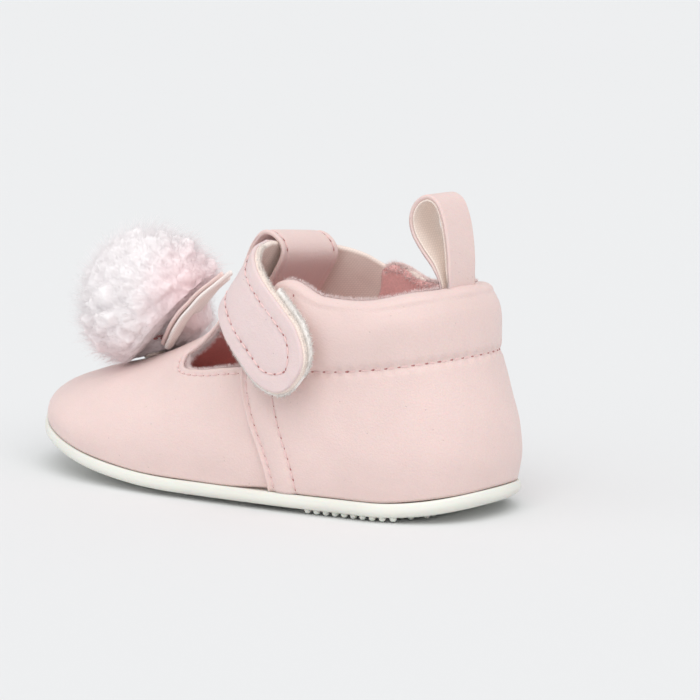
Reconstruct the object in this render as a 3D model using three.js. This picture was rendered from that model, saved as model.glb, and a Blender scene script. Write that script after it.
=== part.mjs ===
// Left baby bootie: a soft pram shoe with a T-bar, a hook-and-loop strap, a heel pull loop,
// two leaf-shaped ears and a pompom.
// Millimetres, +X to the toe, +Y to the outer (strap tab) side, +Z up.
// The origin is on the ground, under the middle of the shoe's box.
import * as THREE from 'three';
import { mergeVertices } from 'three/addons/utils/BufferGeometryUtils.js';

// ---- driving dimensions -------------------------------------------------------------
const SHOE_LENGTH = 120.5; // heel to toe along the feather line
const SHOE_WIDTH = 51.5; // across the ball, at the feather line
const COLLAR_HEIGHT = 47.2; // top of the padded collar above the ground
const SOLE_RIM_HEIGHT = 4.2; // feather line above the ground, where the sole lies flat
const TOE_SPRING = 8.6; // rise of the sole at the toe tip
const HEEL_SPRING = 0.7; // rise of the sole at the back of the heel

const GAP = 0.3; // running clearance between neighbouring layers
const LEATHER = 0.9; // outer leather
const TEXTILE = 0.6; // brushed lining
const COLLAR_THICKNESS = 4.0; // leather, foam and lining together
const COLLAR_PAD = 1.3; // how far the foam swells the collar outwards
const COUNTER_THICKNESS = 0.9; // stiffener round the heel
const PUFF_THICKNESS = 0.7; // stiffener over the toes
const VAMP_TUCK = 10; // how far the vamp runs on under the quarter

const SOLE_LIP = 0.7; // sole edge stands out past the upper
const SOLE_BAND = 3.3; // height of the sole's side band
const RIB_PITCH = 2.3; // tread ribs across the sole
const RIB_HEIGHT = 0.7;
const RIB_WIDTH = 1.5;
const PAD_INSET = 3.2; // tread pads, in from the sole edge
const PAD_BASE = 0.5; // tread pad under its ribs
const BOARD_THICKNESS = 1.2; // insole board
const FOOTBED_THICKNESS = 2.4; // cushioned footbed

const STRAP_WIDTH = 14.2;
const TAB_WIDTH = 15.4;
const STRAP_LEATHER = 0.9;
const STRAP_BACKING = 0.6;
const TAPE_THICKNESS = 0.8; // hook tape and loop tape, each
const KEEPER_WIDTH = 22.4; // along the strap
const KEEPER_WALL = 1.0;

const LOOP_WIDTH = 11.6; // heel pull loop, across the shoe
const LOOP_LEATHER = 0.9;
const LOOP_BACKING = 0.5;

const POMPOM_RADIUS = 14.5;
const POMPOM_SEAT = 1.5; // pompom above the vamp, over its anchor
const ANCHOR_RADIUS = 2.6;
const EAR_LENGTH = 25;
const EAR_WIDTH = 9;
const EAR_THICKNESS = 1.3;

// ---- the last: stations round the foot, drawn for a shoe of this size ------------------
const LAST_LENGTH = 120.5;
const LAST_WIDTH = 51.5;
const LAST_HEIGHT = 47.2;
const kx = SHOE_LENGTH / LAST_LENGTH;
const ky = SHOE_WIDTH / LAST_WIDTH;
const kz = COLLAR_HEIGHT / LAST_HEIGHT;
const at = (x, y, z) => new THREE.Vector3(x * kx, y * ky, z * kz);
const UP = new THREE.Vector3(0, 0, 1);

/** Height of the feather line at x: flat, with toe spring ahead and heel spring behind. */
function featherHeight(x) {
  const toe = THREE.MathUtils.clamp((x / kx - 5) / 56.5, 0, 1);
  const heel = THREE.MathUtils.clamp((-38 - x / kx) / 21, 0, 1);
  return SOLE_RIM_HEIGHT + TOE_SPRING * toe ** 2 + HEEL_SPRING * heel ** 2;
}

// Each station: feather point (x, y), seam point, top point, and its kind.
// The seam point is on the collar stitch line or the throat edge.
const STATIONS = [
  ['heel', [-59, 0], [-54.6, 0, 33.5], [-50.2, 0, 45.2]],
  ['heel', [-55.2, 12.2], [-51.2, 12, 33], [-47.2, 11.6, 44.8]],
  ['heel', [-44.5, 19.4], [-41.5, 18.9, 31.4], [-39.4, 18.4, 43.2]],
  ['heel', [-32, 21.8], [-28.5, 21.4, 30], [-28.5, 20.4, 43.2]],
  ['front', [-17.3, 23.7], [-9, 22.2, 29.3], [-16, 20.6, 45.2]],
  ['wing', [2, 25.2], [3, 20.4, 27]],
  ['ball', [19, 25.8], [11.3, 17, 25.6]],
  ['bar', [38, 23], [14.6, 12.2, 27.3], [3.0, 11.2, 40.6]],
  ['toe', [53, 14.5], [16.3, 6.2, 29.3], [3.3, 5.6, 41.2]],
  ['tip', [61.5, -1.5], [16.8, 0, 30], [3.4, 0, 41.4]],
  ['toe', [54, -16], [16.3, -6.2, 29.3], [3.3, -5.6, 41.2]],
  ['bar', [38, -23.5], [14.6, -12.2, 27.3], [3.0, -11.2, 40.6]],
  ['ball', [19, -24.8], [11.3, -17, 25.6]],
  ['wing', [2, -24], [3, -20.4, 27]],
  ['front', [-17.3, -22.8], [-9, -22, 29.3], [-16, -20.6, 45.2]],
  ['heel', [-32, -21.4], [-28.5, -21.2, 30], [-28.5, -20.4, 43.2]],
  ['heel', [-44.5, -19.2], [-41.5, -18.8, 31.4], [-39.4, -18.4, 43.2]],
  ['heel', [-55.2, -12.2], [-51.2, -12, 33], [-47.2, -11.6, 44.8]],
];
const COUNT = STATIONS.length;
const FRONT_NEAR = 4; // station of the quarter's front edge on the outer side
const BAR_NEAR = 7; // the T-bar's edges
const BAR_FAR = 11;
const FRONT_FAR = 14;

// ---- curve helpers -------------------------------------------------------------------
const smooth = (x, a, b) => THREE.MathUtils.smoothstep(x, a, b);
const lerp = THREE.MathUtils.lerp;
const range = (a, b, n) => Array.from({ length: n + 1 }, (_, i) => a + ((b - a) * i) / n);

/** A point on the closed uniform Catmull-Rom curve through points; s counts stations. */
function ring(points, s) {
  const n = points.length;
  const wrapped = ((s % n) + n) % n;
  const i = Math.floor(wrapped);
  const w = wrapped - i;
  const [a, b, c, d] = [-1, 0, 1, 2].map((k) => points[(i + k + n) % n]);
  const out = new THREE.Vector3();
  for (const axis of ['x', 'y', 'z']) {
    const linear = -a[axis] + c[axis];
    const square = 2 * a[axis] - 5 * b[axis] + 4 * c[axis] - d[axis];
    const cube = -a[axis] + 3 * b[axis] - 3 * c[axis] + d[axis];
    out[axis] = 0.5 * (2 * b[axis] + linear * w + square * w * w + cube * w ** 3);
  }
  return out;
}

function bezier(a, b, c, d, v) {
  const w = 1 - v;
  return new THREE.Vector3()
    .addScaledVector(a, w ** 3)
    .addScaledVector(b, 3 * w * w * v)
    .addScaledVector(c, 3 * w * v * v)
    .addScaledVector(d, v ** 3);
}

const unit = (x, y, z) => new THREE.Vector3(x, y, z).normalize();

// ---- the upper's outer surface ---------------------------------------------------------
// surface(s, v): s counts stations round the foot, v runs 0 at the feather line,
// 1 at the seam or throat, 2 at the top of the collar or the end of the T-bar.
const feather = STATIONS.map(([, [x, y]]) => new THREE.Vector3(x * kx, y * ky, featherHeight(x * kx)));
const seam = STATIONS.map(([, , p]) => at(...p));
const top = STATIONS.map(([, , m, t]) => at(...(t ?? m)));
const lowHandle = [];
const midHandleBelow = [];
const midHandleAbove = [];
const topHandle = [];

STATIONS.forEach(([kind], k) => {
  const along = ring(feather, k + 0.1).sub(ring(feather, k - 0.1)).normalize();
  const out = new THREE.Vector3().crossVectors(along, UP).negate().normalize();
  const side = Math.sign(seam[k].y);
  const rise = seam[k].clone().sub(feather[k]).normalize();
  const climb = top[k].clone().sub(seam[k]);
  const bulge = { heel: 2.9, front: 2.4, wing: 2.2, ball: 2.2, bar: 3, toe: 3, tip: 2 }[kind];
  const lift = { heel: 9, front: 9, wing: 9, ball: 8.5, bar: 8.5, toe: 8, tip: 7.5 }[kind];
  const slope = {
    heel: () => climb.clone().normalize().addScaledVector(UP, 0.25),
    front: () => rise.clone().multiplyScalar(0.75).addScaledVector(climb, 0.9 / climb.length()),
    wing: () => rise.clone().addScaledVector(out, -0.35),
    ball: () => rise.clone().addScaledVector(out, -0.35).add(new THREE.Vector3(-0.2, 0, 0)),
    bar: () => unit(-0.8, -0.1 * side, 0.5),
    toe: () => unit(-0.86, -0.03 * side, 0.46),
    tip: () => unit(-0.88, 0, 0.45),
  }[kind]().normalize();
  const ahead = ['bar', 'toe', 'tip'].includes(kind);
  const below = seam[k].distanceTo(feather[k]) * (ahead ? 0.45 : 0.36);
  const arrive = ahead ? unit(-0.6, 0, 0.8) : unit(-0.03 * out.x, -0.03 * out.y, 1);
  lowHandle.push(feather[k].clone().addScaledVector(UP, lift).addScaledVector(out, bulge));
  midHandleBelow.push(seam[k].clone().addScaledVector(slope, -below));
  midHandleAbove.push(seam[k].clone().addScaledVector(slope, climb.length() / 3));
  topHandle.push(top[k].clone().addScaledVector(arrive, -climb.length() / 3));
});

function surface(s, v) {
  if (v <= 1) {
    return bezier(ring(feather, s), ring(lowHandle, s), ring(midHandleBelow, s), ring(seam, s), v);
  }
  return bezier(ring(seam, s), ring(midHandleAbove, s), ring(topHandle, s), ring(top, s), v - 1);
}

function surfaceNormal(s, v) {
  const step = 0.01;
  const low = Math.max(v - step, v > 1 ? 1 : 0);
  const high = Math.min(v + step, v > 1 ? 2 : 1);
  const along = surface(s + step, v).sub(surface(s - step, v));
  const up = surface(s, high).sub(surface(s, low));
  return up.cross(along).normalize();
}

/** A point offset from the upper's outer surface, outwards when off is positive. */
const skin = (s, v, off) => surface(s, v).addScaledVector(surfaceNormal(s, v), off);

/** How far the foam swells the collar at (s, v). */
function pad(s, v) {
  const around = Math.min(Math.abs(wrapStation(s) - FRONT_NEAR), Math.abs(FRONT_FAR - wrapStation(s)));
  const taper = smooth(around, 0.05, 0.7);
  const band = THREE.MathUtils.clamp(v - 1, 0, 1);
  return COLLAR_PAD * taper * Math.sin(Math.PI * band) ** 0.8;
}

/** The station number between 0 and the number of stations. */
function wrapStation(s) {
  return ((s % COUNT) + COUNT) % COUNT;
}

// ---- mesh helpers ----------------------------------------------------------------------
const bootie = new THREE.Group();
bootie.name = 'baby_bootie';

function add(name, geometry, [color, roughness, metalness = 0]) {
  const material = new THREE.MeshStandardMaterial({ color, roughness, metalness });
  const mesh = new THREE.Mesh(geometry, material);
  mesh.name = name;
  bootie.add(mesh);
  return mesh;
}

function geometryOf(points, triangles) {
  const geometry = new THREE.BufferGeometry();
  const flat = points.flatMap((p) => [p.x, p.y, p.z]);
  geometry.setAttribute('position', new THREE.Float32BufferAttribute(flat, 3));
  geometry.setIndex(triangles.flat());
  return geometry;
}

/** A closed sheet: outer and inner points with the same numbering, and the outer triangles. */
function thickSheet(outer, inner, faces) {
  const n = outer.length;
  const edges = new Set(faces.flatMap(([a, b, c]) => [`${a},${b}`, `${b},${c}`, `${c},${a}`]));
  const triangles = [...faces, ...faces.map(([a, b, c]) => [a + n, c + n, b + n])];
  for (const edge of edges) {
    const [a, b] = edge.split(',').map(Number);
    if (edges.has(`${b},${a}`)) continue;
    triangles.push([b, a, a + n], [b, a + n, b + n]);
  }
  return geometryOf([...outer, ...inner], triangles);
}

/** Triangles of a grid whose point (i, j) has the number index(i, j). */
function gridFaces(columns, rows, index) {
  const faces = [];
  for (let i = 0; i < columns; i++) {
    for (let j = 0; j < rows; j++) {
      const [a, b, c, d] = [index(i, j), index(i, j + 1), index(i + 1, j), index(i + 1, j + 1)];
      faces.push([a, b, c], [c, b, d]);
    }
  }
  return faces;
}

/** A panel from two functions of (column value, row value) that give outer and inner points. */
function panel(columns, rows, outerAt, innerAt) {
  const place = (f) => columns.flatMap((s) => rows.map((v) => f(s, v)));
  const faces = gridFaces(columns.length - 1, rows.length - 1, (i, j) => i * rows.length + j);
  return thickSheet(place(outerAt), place(innerAt), faces);
}

/** A point on the collar's rounded top: angle 0 faces out, 90 degrees is the crest. */
function collarRoll(s, degrees, radius) {
  const angle = THREE.MathUtils.degToRad(degrees);
  const half = COLLAR_THICKNESS / 2;
  return surface(s, 2)
    .addScaledVector(surfaceNormal(s, 2), -half + radius * Math.cos(angle))
    .addScaledVector(UP, radius * Math.sin(angle));
}

// A slab that follows the sole: profile rows are [inset from the feather line, height above it].
function soleSlab(profile, steps) {
  const rings = profile.map(([inset, rise]) =>
    range(0, COUNT, steps).slice(0, -1).map((s) => {
      const p = ring(feather, s);
      const along = ring(feather, s + 0.05).sub(ring(feather, s - 0.05)).normalize();
      const out = new THREE.Vector3().crossVectors(along, UP).negate();
      out.z = 0;
      p.addScaledVector(out.normalize(), -inset);
      return new THREE.Vector3(p.x, p.y, featherHeight(p.x) + rise);
    }));
  const triangles = [];
  for (let j = 0; j < rings.length - 1; j++) {
    for (let i = 0; i < steps; i++) {
      const next = (i + 1) % steps;
      const [a, b] = [j * steps + i, j * steps + next];
      const [c, d] = [a + steps, b + steps];
      triangles.push([a, b, c], [b, d, c]);
    }
  }
  const cap = (base, flip) => {
    for (let i = 0; i < steps / 2; i++) {
      const [a, b] = [base + i, base + i + 1];
      const [c, d] = [base + ((steps - i) % steps), base + steps - i - 1];
      const faces = [];
      if (i > 0) faces.push([a, b, c]);
      if (b !== d) faces.push([b, d, c]);
      if (i === 0) faces.length = 0;
      if (i === 0) faces.push([a, b, d]);
      triangles.push(...faces.map(([p, q, r]) => (flip ? [p, r, q] : [p, q, r])));
    }
  };
  cap(0, true);
  cap((rings.length - 1) * steps, false);
  return geometryOf(rings.flat(), triangles);
}

// ---- colours and finishes -------------------------------------------------------------------
const PINK_LEATHER = [0xeed9d5, 0.62];
const STRAP_PINK = [0xead4d1, 0.6];
const BRUSHED_LINING = [0xe3b9b4, 0.95];
const CREAM = [0xf1e4d6, 0.85];
const RUBBER = [0xecebe3, 0.55];
const FOAM = [0xf4efe6, 0.95];
const BOARD = [0xd8c9ae, 0.9];
const FUR = [0xf0e4e4, 1.0];
const TAPE = [0xe9e7e2, 0.9];

// ---- sole ---------------------------------------------------------------------------------
const SOLE_STEPS = 60;
const RECESS_DEPTH = SOLE_RIM_HEIGHT - RIB_HEIGHT - PAD_BASE - GAP; // below the feather line
const HEEL_PAD = [-49, -21];
const FOREFOOT_PAD = [-4 * RIB_PITCH, 42]; // one rib stands under the origin

/** Half widths of the sole at x: the feather line's largest and smallest y there. */
function soleEdges(x) {
  const near = [];
  const far = [];
  for (const s of range(0, COUNT, 360)) {
    const p = ring(feather, s);
    if (Math.abs(p.x - x) < 1) (s < COUNT / 2 ? near : far).push(p.y);
  }
  return [Math.min(...far.map((y) => Math.abs(y))) * -1, Math.min(...near)];
}

/** The rubber sole: a rounded side band with a shallow recess below for the tread pads. */
function outsole() {
  return soleSlab([
    [0.6, -GAP],
    [-SOLE_LIP, -GAP - 0.4],
    [-SOLE_LIP - 0.2, -SOLE_BAND * 0.45],
    [-SOLE_LIP + 0.5, -SOLE_BAND * 0.8],
    [1.4, -SOLE_BAND],
    [PAD_INSET - 1.0, -SOLE_BAND - 0.05],
    [PAD_INSET - 0.5, -RECESS_DEPTH],
    [PAD_INSET + 3, -RECESS_DEPTH],
  ], SOLE_STEPS);
}

/** A tread pad between two places along the shoe: a comb of ribs as wide as the sole allows. */
function treadPad(start, end) {
  const count = Math.floor((end - start) / RIB_PITCH);
  const upper = [];
  const lower = [];
  for (let k = 0; k < count; k++) {
    const x = start + k * RIB_PITCH;
    const root = featherHeight(x) - RECESS_DEPTH - GAP - PAD_BASE;
    upper.push([x - RIB_PITCH / 2, featherHeight(x) - RECESS_DEPTH - GAP]);
    lower.push([x - RIB_WIDTH / 2, root], [x - RIB_WIDTH * 0.3, root - RIB_HEIGHT]);
    lower.push([x + RIB_WIDTH * 0.3, root - RIB_HEIGHT], [x + RIB_WIDTH / 2, root]);
  }
  const last = start + (count - 0.5) * RIB_PITCH;
  upper.push([last, featherHeight(last) - RECESS_DEPTH - GAP]);
  const outline = [...lower, ...upper.reverse()].map(([x, z]) => new THREE.Vector2(x, z));
  const comb = new THREE.ExtrudeGeometry(new THREE.Shape(outline), { depth: 1, bevelEnabled: false });
  comb.rotateX(Math.PI / 2);
  const position = comb.attributes.position;
  for (let i = 0; i < position.count; i++) {
    const [far, near] = soleEdges(position.getX(i));
    const share = -position.getY(i);
    position.setY(i, lerp(near - PAD_INSET, far + PAD_INSET, share));
  }
  return comb;
}

const UPPER_DEPTH = COLLAR_THICKNESS; // upper's full thickness at the feather line
const BOARD_INSET = UPPER_DEPTH + GAP;

function insoleBoard() {
  return soleSlab([
    [BOARD_INSET, BOARD_THICKNESS],
    [BOARD_INSET, 0],
    [BOARD_INSET + 4, 0],
  ], SOLE_STEPS / 2);
}

function footbed() {
  const base = BOARD_THICKNESS + GAP;
  return soleSlab([
    [BOARD_INSET + 2.4, base + FOOTBED_THICKNESS],
    [BOARD_INSET + 1.4, base + FOOTBED_THICKNESS - 0.7],
    [BOARD_INSET + 0.7, base],
    [BOARD_INSET + 5, base],
  ], SOLE_STEPS / 2);
}

// ---- upper: vamp with its T-bar ---------------------------------------------------------
/** How far the vamp's outer face lies under the upper's outer surface. */
function vampDepth(s) {
  const w = wrapStation(s);
  const ahead = Math.min(w - FRONT_NEAR, FRONT_FAR - w);
  return (LEATHER + GAP) * (1 - smooth(ahead, 0.03, 0.6));
}

/** The lining's outer face, kept off the toe puff low down and close to the leather above. */
function vampLiningDepth(s, v) {
  const w = wrapStation(s);
  const ahead = Math.min(w - FRONT_NEAR, FRONT_FAR - w);
  const room = (PUFF_THICKNESS + GAP) * smooth(ahead, 0.4, 1.2) * (1 - smooth(v, 0.7, 0.92));
  return vampDepth(s) + LEATHER + GAP + 0.1 + room;
}

/** Columns from one wing to the other, with the T-bar's edges exactly on columns. */
function vampColumns(first, last, perStation) {
  const marks = [first, FRONT_NEAR, BAR_NEAR, BAR_FAR, FRONT_FAR, last]
    .filter((m) => m >= first && m <= last);
  const stops = [...new Set(marks)].sort((a, b) => a - b);
  const columns = [stops[0]];
  for (let k = 1; k < stops.length; k++) {
    const n = Math.max(1, Math.round((stops[k] - stops[k - 1]) * perStation));
    columns.push(...range(stops[k - 1], stops[k], n).slice(1));
  }
  return columns;
}

/** A T-shaped sheet: all columns up to the throat, the T-bar's columns up to its end. */
function barSheet(columns, lowRows, highRows, outerAt, innerAt) {
  const rows = [...lowRows, ...highRows.slice(1)];
  const number = new Map();
  const points = [];
  columns.forEach((s, i) => {
    const isBar = s >= BAR_NEAR && s <= BAR_FAR;
    rows.forEach((v, j) => {
      if (v > 1 && !isBar) return;
      number.set(i * 100 + j, points.length);
      points.push([s, v]);
    });
  });
  const faces = [];
  for (let i = 0; i < columns.length - 1; i++) {
    for (let j = 0; j < rows.length - 1; j++) {
      const corners = [[i, j], [i, j + 1], [i + 1, j], [i + 1, j + 1]];
      const [a, b, c, d] = corners.map(([p, q]) => number.get(p * 100 + q));
      if ([a, b, c, d].some((n) => n === undefined)) continue;
      faces.push([a, b, c], [c, b, d]);
    }
  }
  return thickSheet(points.map((p) => outerAt(...p)), points.map((p) => innerAt(...p)), faces);
}

const tuck = VAMP_TUCK / (15.5 * kx); // in stations
const vampRows = [0.02, 0.12, 0.25, 0.4, 0.55, 0.7, 0.85, 1];
const barRows = [1, 1.2, 1.4, 1.6, 1.8, 2];

function vampOuter() {
  const columns = vampColumns(FRONT_NEAR - tuck, FRONT_FAR + tuck, 2.5);
  const outerAt = (s, v) => skin(s, v, -vampDepth(s));
  const innerAt = (s, v) => skin(s, v, -vampDepth(s) - LEATHER);
  return barSheet(columns, vampRows, barRows, outerAt, innerAt);
}

const LINING_BUTT = 0.04; // half the gap between the two linings, in stations

function vampLining() {
  const columns = vampColumns(FRONT_NEAR + LINING_BUTT, FRONT_FAR - LINING_BUTT, 2);
  const rows = [0.04, 0.2, 0.4, 0.6, 0.8, 0.93, 1];
  const outerAt = (s, v) => skin(s, v, -vampLiningDepth(s, v));
  const innerAt = (s, v) => skin(s, v, -vampLiningDepth(s, v) - TEXTILE);
  return barSheet(columns, rows, [1, 1.32, 1.64, 1.95], outerAt, innerAt);
}

function toePuff() {
  const columns = range(BAR_NEAR - 0.6, BAR_FAR + 0.6, 12);
  const face = LEATHER + GAP;
  return panel(columns, [0.05, 0.2, 0.35, 0.5], (s, v) => skin(s, v, -face),
    (s, v) => skin(s, v, -face - PUFF_THICKNESS));
}

// ---- upper: quarter, lining, foam and counter ---------------------------------------------
const quarterStart = FRONT_FAR - COUNT; // the quarter runs backwards round the heel
const quarterRows = [0.02, 0.12, 0.25, 0.45, 0.7, 0.9, 1, 1.12, 1.35, 1.65, 1.88, 2];

function quarterOuter() {
  const columns = range(quarterStart, FRONT_NEAR, 28);
  const half = COLLAR_THICKNESS / 2;
  const rows = [...quarterRows, 'roll40', 'roll80', 'roll112'];
  const point = (depth) => (s, v) => {
    if (typeof v === 'string') return collarRoll(s, Number(v.slice(4)), half - depth);
    return skin(s, v, pad(s, v) - depth);
  };
  return panel(columns, rows, point(0), point(LEATHER));
}

function quarterLining() {
  const columns = range(quarterStart + 0.3, FRONT_NEAR - LINING_BUTT, 28);
  const half = COLLAR_THICKNESS / 2;
  const rows = [0.04, 0.25, 0.5, 0.75, 1, 1.3, 1.65, 2, 'roll155', 'roll128'];
  const point = (depth) => (s, v) => {
    const inward = COLLAR_THICKNESS - TEXTILE + depth;
    if (typeof v === 'string') return collarRoll(s, Number(v.slice(4)), half - TEXTILE + depth);
    return skin(s, v, -inward);
  };
  return panel(columns, rows, point(0), point(TEXTILE));
}

function collarFoam() {
  const columns = range(quarterStart + 1.15, FRONT_NEAR - 0.5, 24);
  const face = LEATHER + GAP;
  const back = COLLAR_THICKNESS - TEXTILE - GAP;
  return panel(columns, [1.04, 1.2, 1.4, 1.6, 1.8, 1.98],
    (s, v) => skin(s, v, pad(s, v) * 0.9 - face), (s, v) => skin(s, v, -back));
}

function heelCounter() {
  const columns = range(-2.2, 2.2, 16);
  const face = LEATHER + GAP;
  return panel(columns, [0.05, 0.25, 0.5, 0.75, 0.95], (s, v) => skin(s, v, -face),
    (s, v) => skin(s, v, -face - COUNTER_THICKNESS));
}

// ---- strap --------------------------------------------------------------------------------
// The strap is a ribbon given by sections: centre on its outer face, and the direction
// across it from its lower edge to its upper edge.
const KEEPER_CENTRE = at(-5.2, 0, 48.0);
const KEEPER_UP = unit(-0.54, 0, 0.84);
const KEEPER_OUT = unit(0.84, 0, 0.54);
const SLIT_DEPTH = LEATHER + GAP + 0.1; // strap's face under the far quarter

function slitSection(s) {
  const low = skin(s, 1.12, -SLIT_DEPTH);
  const high = skin(s, 1.86, -SLIT_DEPTH);
  return [skin(s, 1.5, -SLIT_DEPTH), high.sub(low).normalize()];
}

const keeperPoint = (up, out, y) =>
  KEEPER_CENTRE.clone().addScaledVector(KEEPER_UP, up).addScaledVector(KEEPER_OUT, out).setY(y * ky);

const strapSections = [
  slitSection(FRONT_FAR + 0.95),
  slitSection(FRONT_FAR + 0.5),
  slitSection(FRONT_FAR + 0.08),
  [at(-9.6, -17.2, 45.4), unit(-0.42, 0.12, 0.9)],
  [keeperPoint(0, -0.2, -11.6), KEEPER_UP],
  [keeperPoint(0.2, 0.5, 0), KEEPER_UP],
  [keeperPoint(0.4, 1.3, 11.2), KEEPER_UP],
  [keeperPoint(0.4, 1.3, 13.4), KEEPER_UP],
  [at(-5.2, 18.6, 48.2), unit(-0.58, -0.03, 0.81)],
  [at(-8.0, 22.9, 45.4), unit(-0.61, -0.07, 0.79)],
  [at(-12.6, 25.6, 41.4), unit(-0.626, -0.103, 0.774)],
  [at(-17.5, 26.9, 37.5), unit(-0.626, -0.103, 0.774)],
  [at(-22.4, 28.1, 33.6), unit(-0.626, -0.103, 0.774)],
  [at(-28.2, 29.4, 29.0), unit(-0.626, -0.103, 0.774)],
];
const HINGE_SECTION = 6.85; // where the loose tab starts to bend away
const FIXED_END = HINGE_SECTION - 0.08;
const TAB_START = HINGE_SECTION + 0.08;
const TAB_END = strapSections.length - 1;

/** Centre, across and outward directions of the strap at section number u. */
function strapFrame(u) {
  const last = strapSections.length - 1;
  const i = Math.min(Math.floor(u), last - 1);
  const pick = (k, part) => strapSections[THREE.MathUtils.clamp(k, 0, last)][part];
  const blend = (part) => ring([0, 1, 2, 3].map((k) => pick(i - 1 + k, part)), 1 + (u - i));
  const centre = blend(0);
  const across = blend(1).normalize();
  return { centre, across };
}

function strapPoint(u, side, depth, width) {
  const { centre, across } = strapFrame(u);
  const before = strapFrame(Math.max(u - 0.05, 0)).centre;
  const after = strapFrame(Math.min(u + 0.05, TAB_END)).centre;
  const along = after.sub(before).normalize();
  const out = new THREE.Vector3().crossVectors(along, across).normalize();
  return centre.addScaledVector(across, (side * width) / 2).addScaledVector(out, -depth);
}

const SIDES = [1, 0.5, 0, -0.5, -1];

/** The strap's half width factor: straight, a little wider on the tab, round at its end. */
function strapWidth(u, trim = 0) {
  const width = lerp(STRAP_WIDTH, TAB_WIDTH, smooth(u, 8, 11)) - 2 * trim;
  const tail = (TAB_END - u) / 1.35;
  if (tail >= 1) return width;
  return width * Math.sqrt(Math.max(1 - (1 - tail) ** 2, 0.02));
}

function strapBand(from, to, steps, depth, thickness, trim = 0) {
  const columns = range(from, to, steps);
  const point = (d) => (u, side) => strapPoint(u, side, d, strapWidth(u, trim));
  const faces = [depth, depth + thickness];
  return panel(columns, SIDES, point(faces[0]), point(faces[1]));
}

/** Columns that crowd towards the tab's round end. */
function tabBand(from, depth, thickness, trim = 0) {
  const straight = range(from, TAB_END - 1.35, 12);
  const round = [15, 35, 55, 72, 84].map((a) => TAB_END - 1.35 * (1 - Math.sin(THREE.MathUtils.degToRad(a))));
  const end = TAB_END - trim / 8;
  const columns = [...straight, ...round, TAB_END - 0.005].filter((u) => u <= end);
  const point = (d) => (u, side) => strapPoint(u, side, d, strapWidth(u, trim));
  return panel(columns, SIDES, point(depth), point(depth + thickness));
}

const BACKING_DEPTH = STRAP_LEATHER + 0.2;
const HOOK_DEPTH = BACKING_DEPTH + STRAP_BACKING + 0.2;
const HOOK_START = 10.1;

/** The loop tape on the quarter, under the tab, facing the hook tape. */
function loopTape() {
  const face = HOOK_DEPTH + TAPE_THICKNESS + GAP;
  const point = (d) => (u, side) => strapPoint(u, side * 0.76, d, TAB_WIDTH);
  return panel(range(10.2, TAB_END - 0.9, 6), SIDES, point(face), point(face + TAPE_THICKNESS));
}

// ---- keeper: the T-bar's end, folded back round the strap ---------------------------------
// Inner outline, as [up, out] from the keeper's centre.
const KEEPER_OUTLINE = [
  [-8.9, 0.3], [-8.1, -1.9], [-4, -2.5], [1, -2.6], [5.6, -2.5], [7.6, -1.3],
  [8.1, 1.2], [7.0, 3.4], [3.8, 4.2], [0, 3.8], [-4, 3.1], [-8.0, 2.2],
];

function keeper() {
  const outline = KEEPER_OUTLINE.map(([up, out]) => new THREE.Vector3(up, out, 0));
  const steps = 28;
  const loop = range(0, outline.length, steps).slice(0, -1);
  const inner = loop.map((s) => ring(outline, s));
  const outer = loop.map((s) => {
    const along = ring(outline, s + 0.05).sub(ring(outline, s - 0.05)).normalize();
    return ring(outline, s).add(new THREE.Vector3(along.y, -along.x, 0).multiplyScalar(KEEPER_WALL));
  });
  const flat = (points) => points.map((p) => new THREE.Vector2(p.x, p.y));
  const shape = new THREE.Shape(flat(outer));
  shape.holes.push(new THREE.Path(flat(inner)));
  const geometry = new THREE.ExtrudeGeometry(shape, { depth: KEEPER_WIDTH, bevelEnabled: false });
  const acrossShoe = new THREE.Vector3().crossVectors(KEEPER_UP, KEEPER_OUT);
  geometry.applyMatrix4(new THREE.Matrix4().makeBasis(KEEPER_UP, KEEPER_OUT, acrossShoe));
  geometry.translate(KEEPER_CENTRE.x, (-acrossShoe.y * KEEPER_WIDTH) / 2, KEEPER_CENTRE.z);
  return geometry;
}

// ---- heel pull loop ------------------------------------------------------------------------
// Outline of the loop's outer face in the plane of symmetry, from its base round and back.
const LOOP_FOOT = at(-48.7, 0, 47.2);
const LOOP_OUTLINE = [
  [0.3, 0.5], [2.1, 1.3], [3.9, 3.4], [6.3, 6.6], [8.1, 10.5], [8.2, 14.6], [6.6, 17.6],
  [3.8, 18.7], [1.4, 17.2], [-0.2, 13.6], [-1.2, 9.2], [-1.8, 4.8], [-1.5, 1.5],
];

function loopRing(depth, thickness) {
  const outline = LOOP_OUTLINE.map(([x, z]) => new THREE.Vector3(x, 0, z));
  const steps = 30;
  const offset = (s, d) => {
    const along = ring(outline, s + 0.05).sub(ring(outline, s - 0.05)).normalize();
    const point = ring(outline, s);
    return new THREE.Vector2(point.x - along.z * d, point.z + along.x * d);
  };
  const loop = range(0, outline.length, steps).slice(0, -1);
  const shape = new THREE.Shape(loop.map((s) => offset(s, depth)));
  shape.holes.push(new THREE.Path(loop.map((s) => offset(s, depth + thickness))));
  const geometry = new THREE.ExtrudeGeometry(shape, { depth: LOOP_WIDTH, bevelEnabled: false });
  geometry.rotateX(Math.PI / 2);
  geometry.translate(LOOP_FOOT.x, LOOP_WIDTH / 2, LOOP_FOOT.z);
  return geometry;
}

// ---- pompom and ears --------------------------------------------------------------------------
const POMPOM_CENTRE = at(34, 0, 39);
const EAR_BASE = at(27.2, 0, 29.2);
const EAR_SLOPE = unit(-0.72, 0, 0.69);
const EAR_OUT = unit(0.69, 0, 0.72);

/** Moves the points of a geometry that lie past a plane back onto it. */
function press(geometry, point, normal) {
  const position = geometry.attributes.position;
  const p = new THREE.Vector3();
  for (let i = 0; i < position.count; i++) {
    p.fromBufferAttribute(position, i);
    const past = p.clone().sub(point).dot(normal);
    if (past > 0) p.addScaledVector(normal, -past);
    position.setXYZ(i, p.x, p.y, p.z);
  }
  return geometry;
}

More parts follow.
